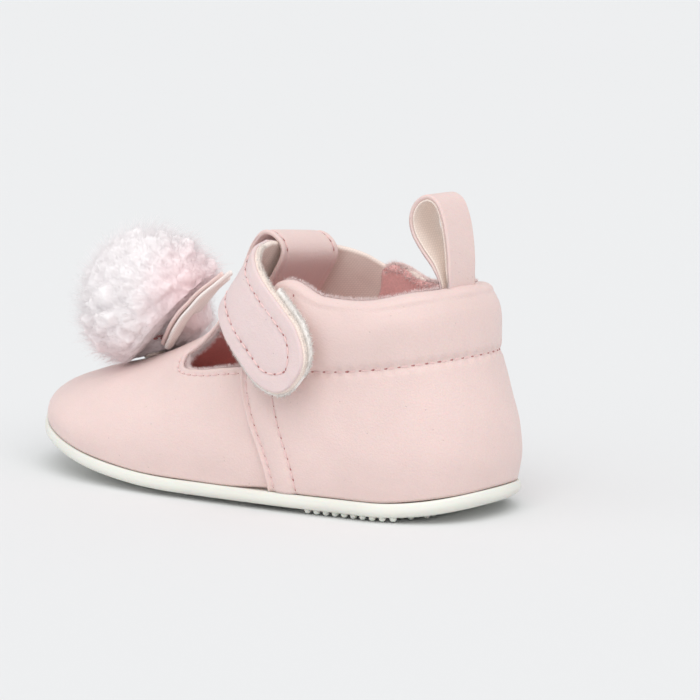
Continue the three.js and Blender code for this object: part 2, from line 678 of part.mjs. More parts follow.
/** The crest of the vamp at x. */
function vampCrest(x) {
  let best = surface(COUNT / 2, 0);
  for (const v of range(0, 2, 200)) {
    const p = surface(COUNT / 2, v);
    if (Math.abs(p.x - x) < Math.abs(best.x - x)) best = p;
  }
  return best;
}

function pompom() {
  const ball = new THREE.SphereGeometry(POMPOM_RADIUS, 20, 14);
  ball.rotateX(Math.PI / 2);
  ball.translate(POMPOM_CENTRE.x, 0, POMPOM_CENTRE.z);
  const back = vampCrest(POMPOM_CENTRE.x - 8 * kx);
  const ahead = vampCrest(POMPOM_CENTRE.x + 8 * kx);
  const slope = ahead.clone().sub(back).normalize();
  const down = new THREE.Vector3(slope.z, 0, -slope.x).normalize();
  const middle = vampCrest(POMPOM_CENTRE.x);
  press(ball, middle.clone().addScaledVector(down, -POMPOM_SEAT), down);
  const behind = EAR_BASE.clone().addScaledVector(EAR_OUT, 1.6);
  press(ball, behind, unit(-0.80, 0, -0.60));
  ball.deleteAttribute('normal');
  ball.deleteAttribute('uv');
  return mergeVertices(ball, 1e-3);
}

function pompomAnchor() {
  const foot = vampCrest(POMPOM_CENTRE.x);
  const near = vampCrest(POMPOM_CENTRE.x + 3);
  const slope = near.clone().sub(foot).normalize();
  const up = new THREE.Vector3(-slope.z, 0, slope.x).normalize();
  const height = POMPOM_SEAT - 2 * GAP;
  const disc = new THREE.CylinderGeometry(ANCHOR_RADIUS * 0.8, ANCHOR_RADIUS, height, 20);
  disc.applyQuaternion(new THREE.Quaternion().setFromUnitVectors(new THREE.Vector3(0, 1, 0), up));
  const centre = foot.clone().addScaledVector(up, GAP + height / 2);
  disc.translate(centre.x, 0, centre.z);
  return disc;
}

/** A leaf: widest just past its middle, cupped across and lifting along its length. */
function ear(side) {
  const columns = range(0, 1, 10);
  const base = EAR_BASE.clone();
  const halfWidth = (a) => EAR_WIDTH / 2 * Math.max(Math.sin(Math.PI * (0.1 + 0.86 * a)) ** 0.8, 0.08);
  const point = (depth) => (a, across) => {
    const spread = side * (EAR_WIDTH * 0.32 + 2.2 * Math.sin(Math.PI * a * 0.8));
    const y = spread + across * halfWidth(a);
    const cup = 0.9 * across ** 2 + 1.2 * Math.sin(Math.PI * a);
    return base.clone()
      .addScaledVector(EAR_SLOPE, a * EAR_LENGTH)
      .addScaledVector(EAR_OUT, cup - 1.9 - depth)
      .add(new THREE.Vector3(0, y, 0));
  };
  return panel(columns, [-1, -0.5, 0, 0.5, 1], point(0), point(EAR_THICKNESS));
}

// ---- the assembly ---------------------------------------------------------------------------
add('outsole', outsole(), RUBBER);
add('tread_heel', treadPad(HEEL_PAD[0] * kx, HEEL_PAD[1] * kx), RUBBER);
add('tread_forefoot', treadPad(FOREFOOT_PAD[0], FOREFOOT_PAD[1] * kx), RUBBER);
add('insole_board', insoleBoard(), BOARD);
add('footbed', footbed(), BRUSHED_LINING);
add('vamp_outer', vampOuter(), PINK_LEATHER);
add('vamp_lining', vampLining(), BRUSHED_LINING);
add('toe_puff', toePuff(), BOARD);
add('quarter_outer', quarterOuter(), PINK_LEATHER);
add('quarter_lining', quarterLining(), BRUSHED_LINING);
add('collar_foam', collarFoam(), FOAM);
add('heel_counter', heelCounter(), BOARD);
add('strap_keeper', keeper(), PINK_LEATHER);
add('strap_outer', strapBand(0, FIXED_END, 22, 0, STRAP_LEATHER), STRAP_PINK);
add('strap_backing', strapBand(0, FIXED_END, 22, BACKING_DEPTH, STRAP_BACKING), CREAM);
add('tab_outer', tabBand(TAB_START, 0, STRAP_LEATHER), STRAP_PINK);
add('tab_backing', tabBand(TAB_START, BACKING_DEPTH, STRAP_BACKING), CREAM);
add('hook_tape', tabBand(HOOK_START, HOOK_DEPTH, TAPE_THICKNESS, 1), TAPE);
add('loop_tape', loopTape(), TAPE);
add('pull_loop_outer', loopRing(0, LOOP_LEATHER), PINK_LEATHER);
add('pull_loop_backing', loopRing(LOOP_LEATHER + 0.15, LOOP_BACKING), CREAM);
add('pompom', pompom(), FUR);
add('pompom_anchor', pompomAnchor(), CREAM);
add('ear_near', ear(1), PINK_LEATHER);
add('ear_far', ear(-1), PINK_LEATHER);

export default bootie;
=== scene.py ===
# %% [markdown]
# # A baby bootie, from its fixed frame
# This lesson dresses a left pram shoe: a soft leather upper with a T-bar, a strap that closes
# with hook tape, a heel pull loop, two leaf-shaped ears and a fur pompom on a thin rubber sole.
# The frame brings the real sizes and the joints. Everything here is built round it in metres,
# though the shoemaker's numbers below stay in millimetres because they are easier to read.

# %% Load the frame
import math

import bmesh
import bpy
import numpy as np
from mathutils import Matrix, Vector
from mathutils.kdtree import KDTree


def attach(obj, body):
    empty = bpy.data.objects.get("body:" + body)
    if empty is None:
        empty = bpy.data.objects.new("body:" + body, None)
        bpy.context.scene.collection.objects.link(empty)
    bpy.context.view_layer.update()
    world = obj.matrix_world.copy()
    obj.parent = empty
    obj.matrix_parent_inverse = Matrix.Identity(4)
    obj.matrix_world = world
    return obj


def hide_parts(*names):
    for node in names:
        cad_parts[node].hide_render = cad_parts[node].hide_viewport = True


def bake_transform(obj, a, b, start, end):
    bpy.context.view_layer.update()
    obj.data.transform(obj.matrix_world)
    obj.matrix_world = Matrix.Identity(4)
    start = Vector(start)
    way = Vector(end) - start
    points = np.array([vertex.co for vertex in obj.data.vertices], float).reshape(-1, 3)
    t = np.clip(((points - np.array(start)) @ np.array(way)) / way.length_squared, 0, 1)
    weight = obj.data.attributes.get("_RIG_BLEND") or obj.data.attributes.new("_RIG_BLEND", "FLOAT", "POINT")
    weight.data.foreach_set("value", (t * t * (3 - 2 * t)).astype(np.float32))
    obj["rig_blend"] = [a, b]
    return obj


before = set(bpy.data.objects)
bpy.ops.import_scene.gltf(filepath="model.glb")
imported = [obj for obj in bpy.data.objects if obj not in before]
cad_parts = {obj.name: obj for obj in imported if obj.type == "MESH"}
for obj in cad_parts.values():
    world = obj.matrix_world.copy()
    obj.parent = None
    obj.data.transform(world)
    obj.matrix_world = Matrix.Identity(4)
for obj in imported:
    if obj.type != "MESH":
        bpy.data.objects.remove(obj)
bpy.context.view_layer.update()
MM = 0.001

# %% [markdown]
# ## The last
# A shoe is built on a last, a solid foot shape. Ours is a table of stations round the foot: each
# has a point on the feather line (where upper meets sole), one on the seam line, and one at the
# top. Smooth curves through them give a surface that every leather panel, lining, stitch row and
# tuft of fuzz is measured from, so that they all fit each other. These are the frame's sizes.

# %% Stations round the last
SOLE_RIM_HEIGHT = 4.2
TOE_SPRING = 8.6
HEEL_SPRING = 2.4
LEATHER = 0.9
LINING = 0.6
GAP = 0.3
COLLAR_THICKNESS = 4.0
STATIONS = [
    ("heel", (-59, 0), (-54.6, 0, 33.5), (-50.2, 0, 45.2)),
    ("heel", (-55.2, 12.2), (-51.2, 12, 33), (-47.2, 11.6, 44.8)),
    ("heel", (-44.5, 19.4), (-41.5, 18.9, 31.4), (-39.4, 18.4, 43.2)),
    ("heel", (-32, 21.8), (-28.5, 21.4, 30), (-28.5, 20.4, 43.2)),
    ("front", (-17.3, 23.7), (-9, 22.2, 29.3), (-16, 20.6, 45.2)),
    ("wing", (2, 25.2), (3, 20.4, 27.4), None),
    ("ball", (19, 25.8), (11.3, 17, 26.9), None),
    ("bar", (38, 23), (14.6, 12.2, 28.9), (3.0, 11.2, 40.6)),
    ("toe", (53, 14.5), (16.3, 6.2, 30.9), (3.3, 5.6, 41.2)),
    ("tip", (61.5, -1.5), (16.8, 0, 31.6), (3.4, 0, 41.4)),
    ("toe", (54, -16), (16.3, -6.2, 30.9), (3.3, -5.6, 41.2)),
    ("bar", (38, -23.5), (14.6, -12.2, 28.9), (3.0, -11.2, 40.6)),
    ("ball", (19, -24.8), (11.3, -17, 26.9), None),
    ("wing", (2, -24), (3, -20.4, 27.4), None),
    ("front", (-17.3, -22.8), (-9, -22, 29.3), (-16, -20.6, 45.2)),
    ("heel", (-32, -21.4), (-28.5, -21.2, 30), (-28.5, -20.4, 43.2)),
    ("heel", (-44.5, -19.2), (-41.5, -18.8, 31.4), (-39.4, -18.4, 43.2)),
    ("heel", (-55.2, -12.2), (-51.2, -12, 33), (-47.2, -11.6, 44.8)),
]
COUNT = len(STATIONS)
FRONT_NEAR, BAR_NEAR, FRONT_FAR = 4, 7, 14
UP = np.array([0.0, 0.0, 1.0])


def unit(v):
    v = np.asarray(v, float)
    return v / np.maximum(np.linalg.norm(v, axis=-1, keepdims=True), 1e-12)


def feather_height(x):
    toe = np.clip((np.asarray(x, float) - 5) / 56.5, 0, 1)
    heel = np.clip((-41 - np.asarray(x, float)) / 18, 0, 1)
    return SOLE_RIM_HEIGHT + TOE_SPRING * toe**2 + HEEL_SPRING * heel**2


def ring(points, s):
    """Points on the closed Catmull-Rom curve through points; s counts stations."""
    n = len(points)
    s = np.asarray(s, float) % n
    i = np.floor(s).astype(int)
    w = (s - i)[..., None]
    a, b, c, d = (points[(i + k) % n] for k in (-1, 0, 1, 2))
    return 0.5 * (2 * b + (c - a) * w + (2 * a - 5 * b + 4 * c - d) * w**2
                  + (3 * b - 3 * c + d - a) * w**3)


FEATHER = np.array([(x, y, float(feather_height(x))) for _, (x, y), _, _ in STATIONS], float)
SEAM = np.array([m for _, _, m, _ in STATIONS], float)
TOP = np.array([t or m for _, _, m, t in STATIONS], float)
print("stations:", COUNT)

# %% Profile handles at each station
BULGE = {"heel": 2.9, "front": 2.4, "wing": 2.2, "ball": 2.2, "bar": 3, "toe": 3, "tip": 2}
LIFT = {"heel": 9, "front": 9, "wing": 9, "ball": 8.5, "bar": 8.5, "toe": 8, "tip": 7.5}


def handles(k):
    """The four handle points that shape the profile at station k."""
    kind = STATIONS[k][0]
    along = unit(ring(FEATHER, k + 0.1) - ring(FEATHER, k - 0.1))
    out = unit(np.cross(UP, along))
    side = np.sign(SEAM[k][1])
    rise = unit(SEAM[k] - FEATHER[k])
    climb = TOP[k] - SEAM[k]
    length = np.linalg.norm(climb)
    slope = {
        "heel": unit(climb) + 0.25 * UP,
        "front": 0.75 * rise + 0.9 * unit(climb),
        "wing": rise - 0.35 * out,
        "ball": rise - 0.35 * out + np.array([-0.2, 0, 0]),
        "bar": np.array([-0.8, -0.1 * side, 0.5]),
        "toe": np.array([-0.86, -0.03 * side, 0.46]),
        "tip": np.array([-0.88, 0, 0.45]),
    }[kind]
    ahead = kind in ("bar", "toe", "tip")
    below = np.linalg.norm(SEAM[k] - FEATHER[k]) * (0.45 if ahead else 0.36)
    arrive = unit([-0.6, 0, 0.8]) if ahead else unit([-0.03 * out[0], -0.03 * out[1], 1])
    return (FEATHER[k] + UP * LIFT[kind] + out * BULGE[kind], SEAM[k] - unit(slope) * below,
            SEAM[k] + unit(slope) * length / 3, TOP[k] - arrive * length / 3)


LOW, BELOW, ABOVE, NEAR_TOP = (np.array(h) for h in zip(*[handles(k) for k in range(COUNT)]))


def bezier(a, b, c, d, v):
    v = v[..., None]
    w = 1 - v
    return a * w**3 + 3 * b * w * w * v + 3 * c * w * v * v + d * v**3


def surface(s, v):
    """The upper's outer surface, in millimetres: v is 0 at the feather line, 1 at the seam."""
    s, v = np.broadcast_arrays(np.asarray(s, float), np.asarray(v, float))
    low = bezier(ring(FEATHER, s), ring(LOW, s), ring(BELOW, s), ring(SEAM, s), np.clip(v, 0, 1))
    high = bezier(ring(SEAM, s), ring(ABOVE, s), ring(NEAR_TOP, s), ring(TOP, s),
                  np.clip(v - 1, 0, 1))
    return np.where((v <= 1)[..., None], low, high)


def normal(s, v):
    s, v = np.broadcast_arrays(np.asarray(s, float), np.asarray(v, float))
    step = 0.01
    low = np.maximum(v - step, np.where(v > 1, 1.0, 0.0))
    high = np.minimum(v + step, np.where(v > 1, 2.0, 1.0))
    along = surface(s + step, v) - surface(s - step, v)
    return unit(np.cross(surface(s, high) - surface(s, low), along))


def skin(s, v, off):
    return surface(s, v) + normal(s, v) * np.asarray(off, float)[..., None]


print("collar height:", round(float(surface(0, 2)[2]) + COLLAR_THICKNESS / 2, 1), "mm")

# %% Small tools for shaping leather
def smooth(x, a, b):
    t = np.clip((np.asarray(x, float) - a) / (b - a), 0, 1)
    return t * t * (3 - 2 * t)


def stops(a, b, count, first=0.0, last=0.0):
    """count + 1 even values from a to b, with extra ones crowded inside first and last."""
    values = list(np.linspace(a, b, count + 1))
    for share in (0.1, 0.28, 0.5, 0.75, 1.0):
        if first:
            values.append(a + first * share)
        if last:
            values.append(b - last * share)
    values = np.array(sorted(values))
    return values[np.concatenate([[True], np.diff(values) > abs(b - a) * 1e-4])]


def lengths(line):
    """Distance run along a line of points, starting at 0."""
    return np.concatenate([[0], np.cumsum(np.linalg.norm(np.diff(line, axis=0), axis=1))])


def nearest(points, line, step=0.15):
    """For each point, its distance to the line and how far along the line that is."""
    run = lengths(line)
    marks = np.linspace(0, run[-1], max(int(run[-1] / step), 2))
    fine = np.stack([np.interp(marks, run, line[:, k]) for k in range(3)], axis=1)
    tree = KDTree(len(fine))
    for index, point in enumerate(fine):
        tree.insert(point, index)
    tree.balance()
    flat = points.reshape(-1, 3)
    found = [tree.find(point) for point in flat]
    distance = np.array([f[2] for f in found]).reshape(points.shape[:-1])
    along = marks[[f[1] for f in found]].reshape(points.shape[:-1])
    return distance, along


def undulation(points, size, seed):
    """Gentle, even noise between about -1 and 1, with bumps of the given size in millimetres."""
    random = np.random.default_rng(seed)
    total = np.zeros(points.shape[:-1])
    for _ in range(10):
        direction = unit(random.normal(size=3)) * 2 * math.pi / (size * random.uniform(0.7, 1.5))
        total += np.sin(points @ direction + random.uniform(0, 2 * math.pi))
    return total / 4.5


def build(name, points, faces):
    """An object from points in millimetres and faces, turned so that its faces look outwards."""
    faces = [list(face) for face in faces]
    fans = np.array([(f[0], f[k], f[k + 1]) for f in faces for k in range(1, len(f) - 1)])
    a, b, c = (points[fans[:, k]] for k in range(3))
    if np.einsum("ij,ij->i", a, np.cross(b, c)).sum() < 0:
        faces = [face[::-1] for face in faces]
    mesh = bpy.data.meshes.new(name)
    mesh.from_pydata((points * MM).tolist(), [], faces)
    mesh.polygons.foreach_set("use_smooth", np.ones(len(mesh.polygons), bool))
    piece = bpy.data.objects.new(name, mesh)
    bpy.context.scene.collection.objects.link(piece)
    return piece


def thick_sheet(name, outer, inner, keep=None, wrap=False):
    """A closed sheet from two grids of points; keep says which cells exist, wrap joins its ends."""
    columns, rows = outer.shape[:2]
    index = np.arange(columns * rows).reshape(columns, rows)
    if wrap:
        index = np.concatenate([index, index[:1]])
    keep = np.ones((len(index) - 1, rows - 1), bool) if keep is None else keep
    faces = np.stack([index[:-1, :-1][keep], index[:-1, 1:][keep], index[1:, 1:][keep],
                      index[1:, :-1][keep]], axis=1)
    edges = np.concatenate([faces[:, [k, (k + 1) % 4]] for k in range(4)])
    known = set(map(tuple, edges.tolist()))
    rim = np.array([edge for edge in known if (edge[1], edge[0]) not in known])
    total = columns * rows
    walls = np.stack([rim[:, 1], rim[:, 0], rim[:, 0] + total, rim[:, 1] + total], axis=1)
    every = np.concatenate([faces, faces[:, ::-1] + total, walls])
    points = np.concatenate([outer.reshape(-1, 3), inner.reshape(-1, 3)])
    used = np.unique(every)
    number = np.zeros(2 * total, int)
    number[used] = np.arange(len(used))
    return build(name, points[used], number[every].tolist())


def round_edge(distance, radius):
    """How far a face drops towards a rounded edge, by its distance from the edge."""
    inside = np.clip(radius - distance, 0, radius)
    return radius - np.sqrt(radius**2 - inside**2)


def dress(piece, material, body=None, nodes=()):
    """Gives a finished piece its material, its body and the CAD nodes that it stands for."""
    if material:
        piece.data.materials.clear()
        piece.data.materials.append(material)
    if nodes:
        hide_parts(*nodes)
    if body:
        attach(piece, body)
    print(f"{piece.name}: {len(piece.data.polygons)} faces")
    return piece

# %% [markdown]
# ## Finishes
# The leather is a matt coated split: fine pebbled grain, a few open pores, and a colour that
# drifts a little from hide to hide. All patterns read Object coordinates, because every piece
# keeps its place in its own mesh, so the grain has one scale over the whole shoe.

# %% A small kit for node materials
def begin(name, roughness, **sockets):
    material = bpy.data.materials.new(name)
    material.use_nodes = True
    tree = material.node_tree
    shader = next(n for n in tree.nodes if n.type == "BSDF_PRINCIPLED")
    shader.inputs["Roughness"].default_value = roughness
    for socket, value in sockets.items():
        shader.inputs[socket.replace("_", " ")].default_value = value
    place = tree.nodes.new("ShaderNodeTexCoord").outputs["Object"]
    return material, tree, shader, place


def node(tree, kind, settings=None, **inputs):
    """Adds a node; an input is a value or another node's output."""
    made = tree.nodes.new(kind)
    for key, value in (settings or {}).items():
        setattr(made, key, value)
    for key, value in inputs.items():
        name = key.replace("_", " ")
        numbered = name[0] == "i" and name[1:].isdigit()
        socket = made.inputs[int(name[1:]) if numbered else name]
        if isinstance(value, bpy.types.NodeSocket):
            tree.links.new(value, socket)
        else:
            socket.default_value = value
    return made


def noise(tree, place, size, detail=3, roughness=0.5):
    """Noise whose blotches are about size millimetres across."""
    return node(tree, "ShaderNodeTexNoise", Vector=place, Scale=1 / (size * MM), Detail=detail,
                Roughness=roughness).outputs["Fac"]


def ramp(tree, value, low, high, first=0.0, last=1.0):
    """Maps value from low..high to first..last, clamped."""
    return node(tree, "ShaderNodeMapRange", Value=value, From_Min=low, From_Max=high,
                To_Min=first, To_Max=last).outputs["Result"]


def mix(tree, factor, a, b):
    made = node(tree, "ShaderNodeMix", {"data_type": "RGBA"}, i0=factor)
    for socket, value in ((made.inputs[6], a), (made.inputs[7], b)):
        if isinstance(value, bpy.types.NodeSocket):
            tree.links.new(value, socket)
        else:
            socket.default_value = value
    return made.outputs[2]


def math_node(tree, operation, a, b):
    return node(tree, "ShaderNodeMath", {"operation": operation}, i0=a, i1=b).outputs[0]


def bump(tree, shader, height, depth, strength=1.0, below=None):
    """Bump of the given depth in millimetres, added to what is already there."""
    inputs = {"Height": height, "Distance": depth * MM, "Strength": strength}
    if below:
        inputs["Normal"] = below
    made = node(tree, "ShaderNodeBump", **inputs).outputs["Normal"]
    tree.links.new(made, shader.inputs["Normal"])
    return made


def shade(rgb, factor=1.0):
    """A colour for a socket, from display values 0 to 255."""
    linear = [((c / 255 + 0.055) / 1.055) ** 2.4 if c > 10 else c / 3294 for c in rgb]
    return (*[min(c * factor, 1) for c in linear], 1)


# %% Leather
def leather(name, rgb, roughness=0.55):
    material, tree, shader, place = begin(name, roughness, Sheen_Weight=0.15, Sheen_Roughness=0.5,
                                          Specular_IOR_Level=0.35, Subsurface_Weight=0.06,
                                          Subsurface_Scale=0.002)
    drift = ramp(tree, noise(tree, place, 14), 0.35, 0.65)
    cells = node(tree, "ShaderNodeTexVoronoi", {"feature": "SMOOTH_F1"}, Vector=place,
                 Scale=1 / (0.42 * MM), Smoothness=0.6).outputs["Distance"]
    fine = noise(tree, place, 0.22, 2)
    spots = node(tree, "ShaderNodeTexVoronoi", Vector=place, Scale=1 / (1.7 * MM))
    chosen = ramp(tree, node(tree, "ShaderNodeSeparateColor",
                             Color=spots.outputs["Color"]).outputs["Red"], 0.8, 0.82)
    dots = ramp(tree, spots.outputs["Distance"], 0.03, 0.10, 1, 0)
    pore = math_node(tree, "MULTIPLY", dots, chosen)
    body = mix(tree, drift, shade(rgb), shade(rgb, 0.955))
    speckle = math_node(tree, "ADD", ramp(tree, cells, 0.1, 0.6, 0, 0.16),
                        ramp(tree, fine, 0.42, 0.72, 0, 0.22))
    grained = mix(tree, speckle, body, shade([c * 0.93 for c in rgb]))
    tree.links.new(mix(tree, math_node(tree, "MULTIPLY", pore, 0.45), grained,
                       shade([c * 0.7 for c in rgb])), shader.inputs["Base Color"])
    first = bump(tree, shader, cells, 0.08, 0.6)
    second = bump(tree, shader, fine, 0.06, 0.6, first)
    bump(tree, shader, math_node(tree, "MULTIPLY", pore, -1.0), 0.12, 0.6, second)
    tree.links.new(ramp(tree, fine, 0.3, 0.7, roughness - 0.05, roughness + 0.08),
                   shader.inputs["Roughness"])
    return material


PINK = (239, 213, 208)
PINK_LEATHER = leather("pink_leather", PINK)
STRAP_LEATHER = leather("strap_leather", (235, 213, 212))

# %% Brushed textiles, backing, tape and board
def brushed(name, rgb, size=0.5, depth=0.15, mottle=0.8):
    """A matt textile with a soft nap."""
    material, tree, shader, place = begin(name, 0.95, Sheen_Weight=0.5, Sheen_Roughness=0.45,
                                          Specular_IOR_Level=0.15)
    nap = noise(tree, place, size, 4, 0.65)
    broad = noise(tree, place, size * 8, 2)
    colour = mix(tree, ramp(tree, nap, 0.3, 0.7), shade(rgb, mottle), shade(rgb))
    tree.links.new(mix(tree, ramp(tree, broad, 0.4, 0.6, 0, 0.25), colour, shade(rgb, 0.9)),
                   shader.inputs["Base Color"])
    bump(tree, shader, nap, depth, 0.8)
    return material


def woven(name, rgb, pitch, depth=0.06):
    """A plain woven backing: two fine ribs crossing."""
    material, tree, shader, place = begin(name, 0.9, Sheen_Weight=0.2, Specular_IOR_Level=0.2)
    ribs = [node(tree, "ShaderNodeTexWave", {"bands_direction": axis}, Vector=place,
                 Scale=0.314 / (pitch * MM), Distortion=1.2, Detail=1.0).outputs["Fac"]
            for axis in ("Z", "DIAGONAL")]
    weave = math_node(tree, "MULTIPLY", *ribs)
    colour = mix(tree, weave, shade(rgb, 0.88), shade(rgb))
    tree.links.new(colour, shader.inputs["Base Color"])
    first = bump(tree, shader, weave, depth, 0.7)
    bump(tree, shader, noise(tree, place, 0.3), 0.05, 0.5, first)
    return material


LINING_PINK = brushed("brushed_lining", (250, 192, 188))
LINING_DEEP = brushed("footbed_textile", (242, 176, 170))
CREAM = woven("cream_backing", (255, 240, 230), 0.45, 0.03)
EAR_CLOTH = woven("ear_lining", (255, 246, 242), 0.4, 0.03)
TAPE_WHITE = brushed("hook_tape_ground", (255, 251, 247), 0.3, 0.1, 0.86)
BOARD = brushed("fibre_board", (214, 200, 172), 0.8, 0.05, 0.9)
FOAM = brushed("collar_foam", (240, 234, 224), 0.6, 0.1, 0.92)
THREAD = brushed("sewing_thread", (243, 210, 207), 0.12, 0.03, 0.9)
NAP_PINK = brushed("nap_pale_pink", (255, 236, 234), 0.6, 0.02, 0.97)
NAP_CREAM = brushed("nap_cream", (255, 248, 242), 0.6, 0.02, 0.97)
# Needle holes are dark beads sunk into the leather: their colour is painted shade inside the holes.
DARK_HOLE_SHADE = brushed("painted_hole_shade", (184, 124, 122), 0.2, 0.02, 0.9)

# %% Rubber
def rubber(name, rgb):
    material, tree, shader, place = begin(name, 0.5, Specular_IOR_Level=0.4, Subsurface_Weight=0.1,
                                          Subsurface_Scale=0.003)
    drift = ramp(tree, noise(tree, place, 18), 0.35, 0.65)
    tree.links.new(mix(tree, drift, shade(rgb), shade(rgb, 0.95)), shader.inputs["Base Color"])
    bump(tree, shader, noise(tree, place, 0.5, 4), 0.02, 0.5)
    return material


RUBBER = rubber("sole_rubber", (238, 238, 230))
print("materials:", len(bpy.data.materials))

# %% [markdown]
# ## The sole
# A pram shoe's sole is one thin moulded rubber slab. Its side band stands out a little past the
# upper, curves under, and lifts at the toe. We sweep a rounded profile round the feather line.
# Underneath, a nubby tread stands in a shallow recess.

# %% Outsole slab
SOLE_ROWS = [(3.0, -0.25), (0.9, -0.2), (0.0, -0.08), (-0.38, -0.12), (-0.62, -0.36), (-0.75, -0.8),
             (-0.86, -1.3), (-0.88, -1.75), (-0.72, -2.2), (-0.35, -2.62), (0.25, -2.98),
             (0.95, -3.2), (1.6, -3.3), (2.1, -3.3), (2.35, -3.2), (2.5, -2.95), (2.7, -2.72),
             (3.3, -2.7), (6.2, -2.7)]


def inset_line(amount, steps=360):
    """The feather line moved inwards by amount, as points and the matching stations."""
    s = np.arange(steps) * COUNT / steps
    here = ring(FEATHER, s)
    along = ring(FEATHER, s + 0.05) - ring(FEATHER, s - 0.05)
    along[:, 2] = 0
    return here - unit(np.cross(UP, along)) * amount, s


def slab(name, rows):
    """A closed slab swept round the foot; rows are (inset, rise) from top middle to bottom."""
    rings = []
    for inset, rise in rows:
        line, _ = inset_line(inset)
        line[:, 2] = feather_height(line[:, 0]) + rise
        rings.append(line)
    steps = len(rings[0])
    faces = []
    for r in range(len(rings) - 1):
        for i in range(steps):
            j = (i + 1) % steps
            faces.append((r * steps + i, r * steps + j, (r + 1) * steps + j, (r + 1) * steps + i))
    for base, top_cap in ((0, True), ((len(rings) - 1) * steps, False)):
        for i in range(steps // 2):
            corners = (i, (i + 1) % steps, (steps - i - 1) % steps, (steps - i) % steps)
            face = [base + k for k in dict.fromkeys(corners)]
            faces.append(face[::-1] if top_cap else face)
    return build(name, np.concatenate(rings), [f for f in faces if len(f) > 2])


dress(slab("sole_slab", SOLE_ROWS), RUBBER, "shoe", ["outsole"])

# %% [markdown]
# ## Board and footbed
# Inside the shoe a stiff board carries a cushioned footbed covered in the lining's brushed
# cloth. Both follow the sole's lift at the toe.

# %% Insole board and footbed
board_rows = [(9.0, 1.2), (4.7, 1.2), (4.4, 1.1), (4.3, 0.9), (4.3, 0.3), (4.4, 0.1), (4.7, 0.0),
              (9.0, 0.0)]
dress(slab("insole_board_inside", board_rows), BOARD, "shoe", ["insole_board"])
bed_rows = [(14.0, 3.75), (9.0, 3.9), (7.4, 3.8), (6.3, 3.5), (5.75, 3.1), (5.8, 2.5), (6.2, 2.0),
            (7.0, 1.6), (9.0, 1.5)]
footbed = dress(slab("footbed_cushion", bed_rows), LINING_DEEP, "shoe",
                ["footbed"])

# %% [markdown]
# ## The tread
# Underneath, small rubber nubs in a square grid fill the recess under the heel and under the
# front of the foot. One nub is planted on every grid point by Geometry Nodes, the tool used for
# all the small repeats of this shoe: nubs, stitches, needle holes, fuzz and fur.

# %% One tree for every small repeat
def scatter_tree(shape, around, rings):
    """A tree that plants one small shape on every point, Z along "out" and X along "along"."""
    tree = bpy.data.node_groups.new(f"plant_{shape}", "GeometryNodeTree")
    face = tree.interface
    face.new_socket("Geometry", in_out="OUTPUT", socket_type="NodeSocketGeometry")
    names = {}
    for label, kind in (("Points", "Geometry"), ("Length", "Float"), ("Width", "Float"),
                        ("Height", "Float"), ("Bend", "Float"), ("Variation", "Float"),
                        ("Seed", "Int"), ("Material", "Material")):
        names[label] = face.new_socket(label, in_out="INPUT",
                                       socket_type="NodeSocket" + kind).identifier
    given = tree.nodes.new("NodeGroupInput").outputs
    if shape == "strand":
        unit_shape = node(tree, "GeometryNodeMeshCone", Vertices=around, Side_Segments=rings,
                          Radius_Top=0.12, Radius_Bottom=0.5, Depth=1.0).outputs["Mesh"]
        scale = (given["Width"], given["Width"], given["Length"])
    else:
        unit_shape = node(tree, "GeometryNodeMeshUVSphere", Segments=around, Rings=rings,
                          Radius=0.5).outputs["Mesh"]
        scale = (given["Length"], given["Width"], given["Height"])
    sizes = node(tree, "ShaderNodeCombineXYZ", i0=scale[0], i1=scale[1], i2=scale[2])
    sized = node(tree, "GeometryNodeTransform", Geometry=unit_shape, Scale=sizes.outputs[0])
    position = node(tree, "GeometryNodeInputPosition").outputs[0]
    height = node(tree, "ShaderNodeSeparateXYZ", i0=position).outputs["Z"]
    share = math_node(tree, "DIVIDE", height, given["Length"])
    lean = math_node(tree, "MULTIPLY", math_node(tree, "MULTIPLY", share, share), given["Bend"])
    push = node(tree, "ShaderNodeCombineXYZ", i0=lean)
    bent = node(tree, "GeometryNodeSetPosition", Geometry=sized.outputs[0], Offset=push.outputs[0])

    def named(label, kind):
        made = tree.nodes.new("GeometryNodeInputNamedAttribute")
        made.data_type = kind
        made.inputs["Name"].default_value = label
        return next(s for s in made.outputs if s.enabled and s.name == "Attribute")

    upright = node(tree, "FunctionNodeAlignRotationToVector", {"axis": "Z"},
                   Vector=named("out", "FLOAT_VECTOR"))
    turned = node(tree, "FunctionNodeAlignRotationToVector", {"axis": "X", "pivot_axis": "Z"},
                  Rotation=upright.outputs[0], Vector=named("along", "FLOAT_VECTOR"))
    spread = tree.nodes.new("FunctionNodeRandomValue")
    spread.data_type = "FLOAT"
    floats = [s for s in spread.inputs if s.type == "VALUE" and s.enabled]
    tree.links.new(math_node(tree, "SUBTRACT", 1.0, given["Variation"]), floats[0])
    tree.links.new(math_node(tree, "ADD", 1.0, given["Variation"]), floats[1])
    tree.links.new(given["Seed"], spread.inputs["Seed"])
    chance = next(s for s in spread.outputs if s.enabled)
    grow = math_node(tree, "MULTIPLY", chance, named("size", "FLOAT"))
    planted = node(tree, "GeometryNodeInstanceOnPoints", Points=given["Points"],
                   Instance=bent.outputs[0], Rotation=turned.outputs[0], Scale=grow)
    real = node(tree, "GeometryNodeRealizeInstances", Geometry=planted.outputs[0])
    coated = node(tree, "GeometryNodeSetMaterial", Geometry=real.outputs[0],
                  Material=given["Material"])
    soft = node(tree, "GeometryNodeSetShadeSmooth", Geometry=coated.outputs[0])
    result = tree.nodes.new("NodeGroupOutput")
    tree.links.new(soft.outputs[0], result.inputs[0])
    return tree, names


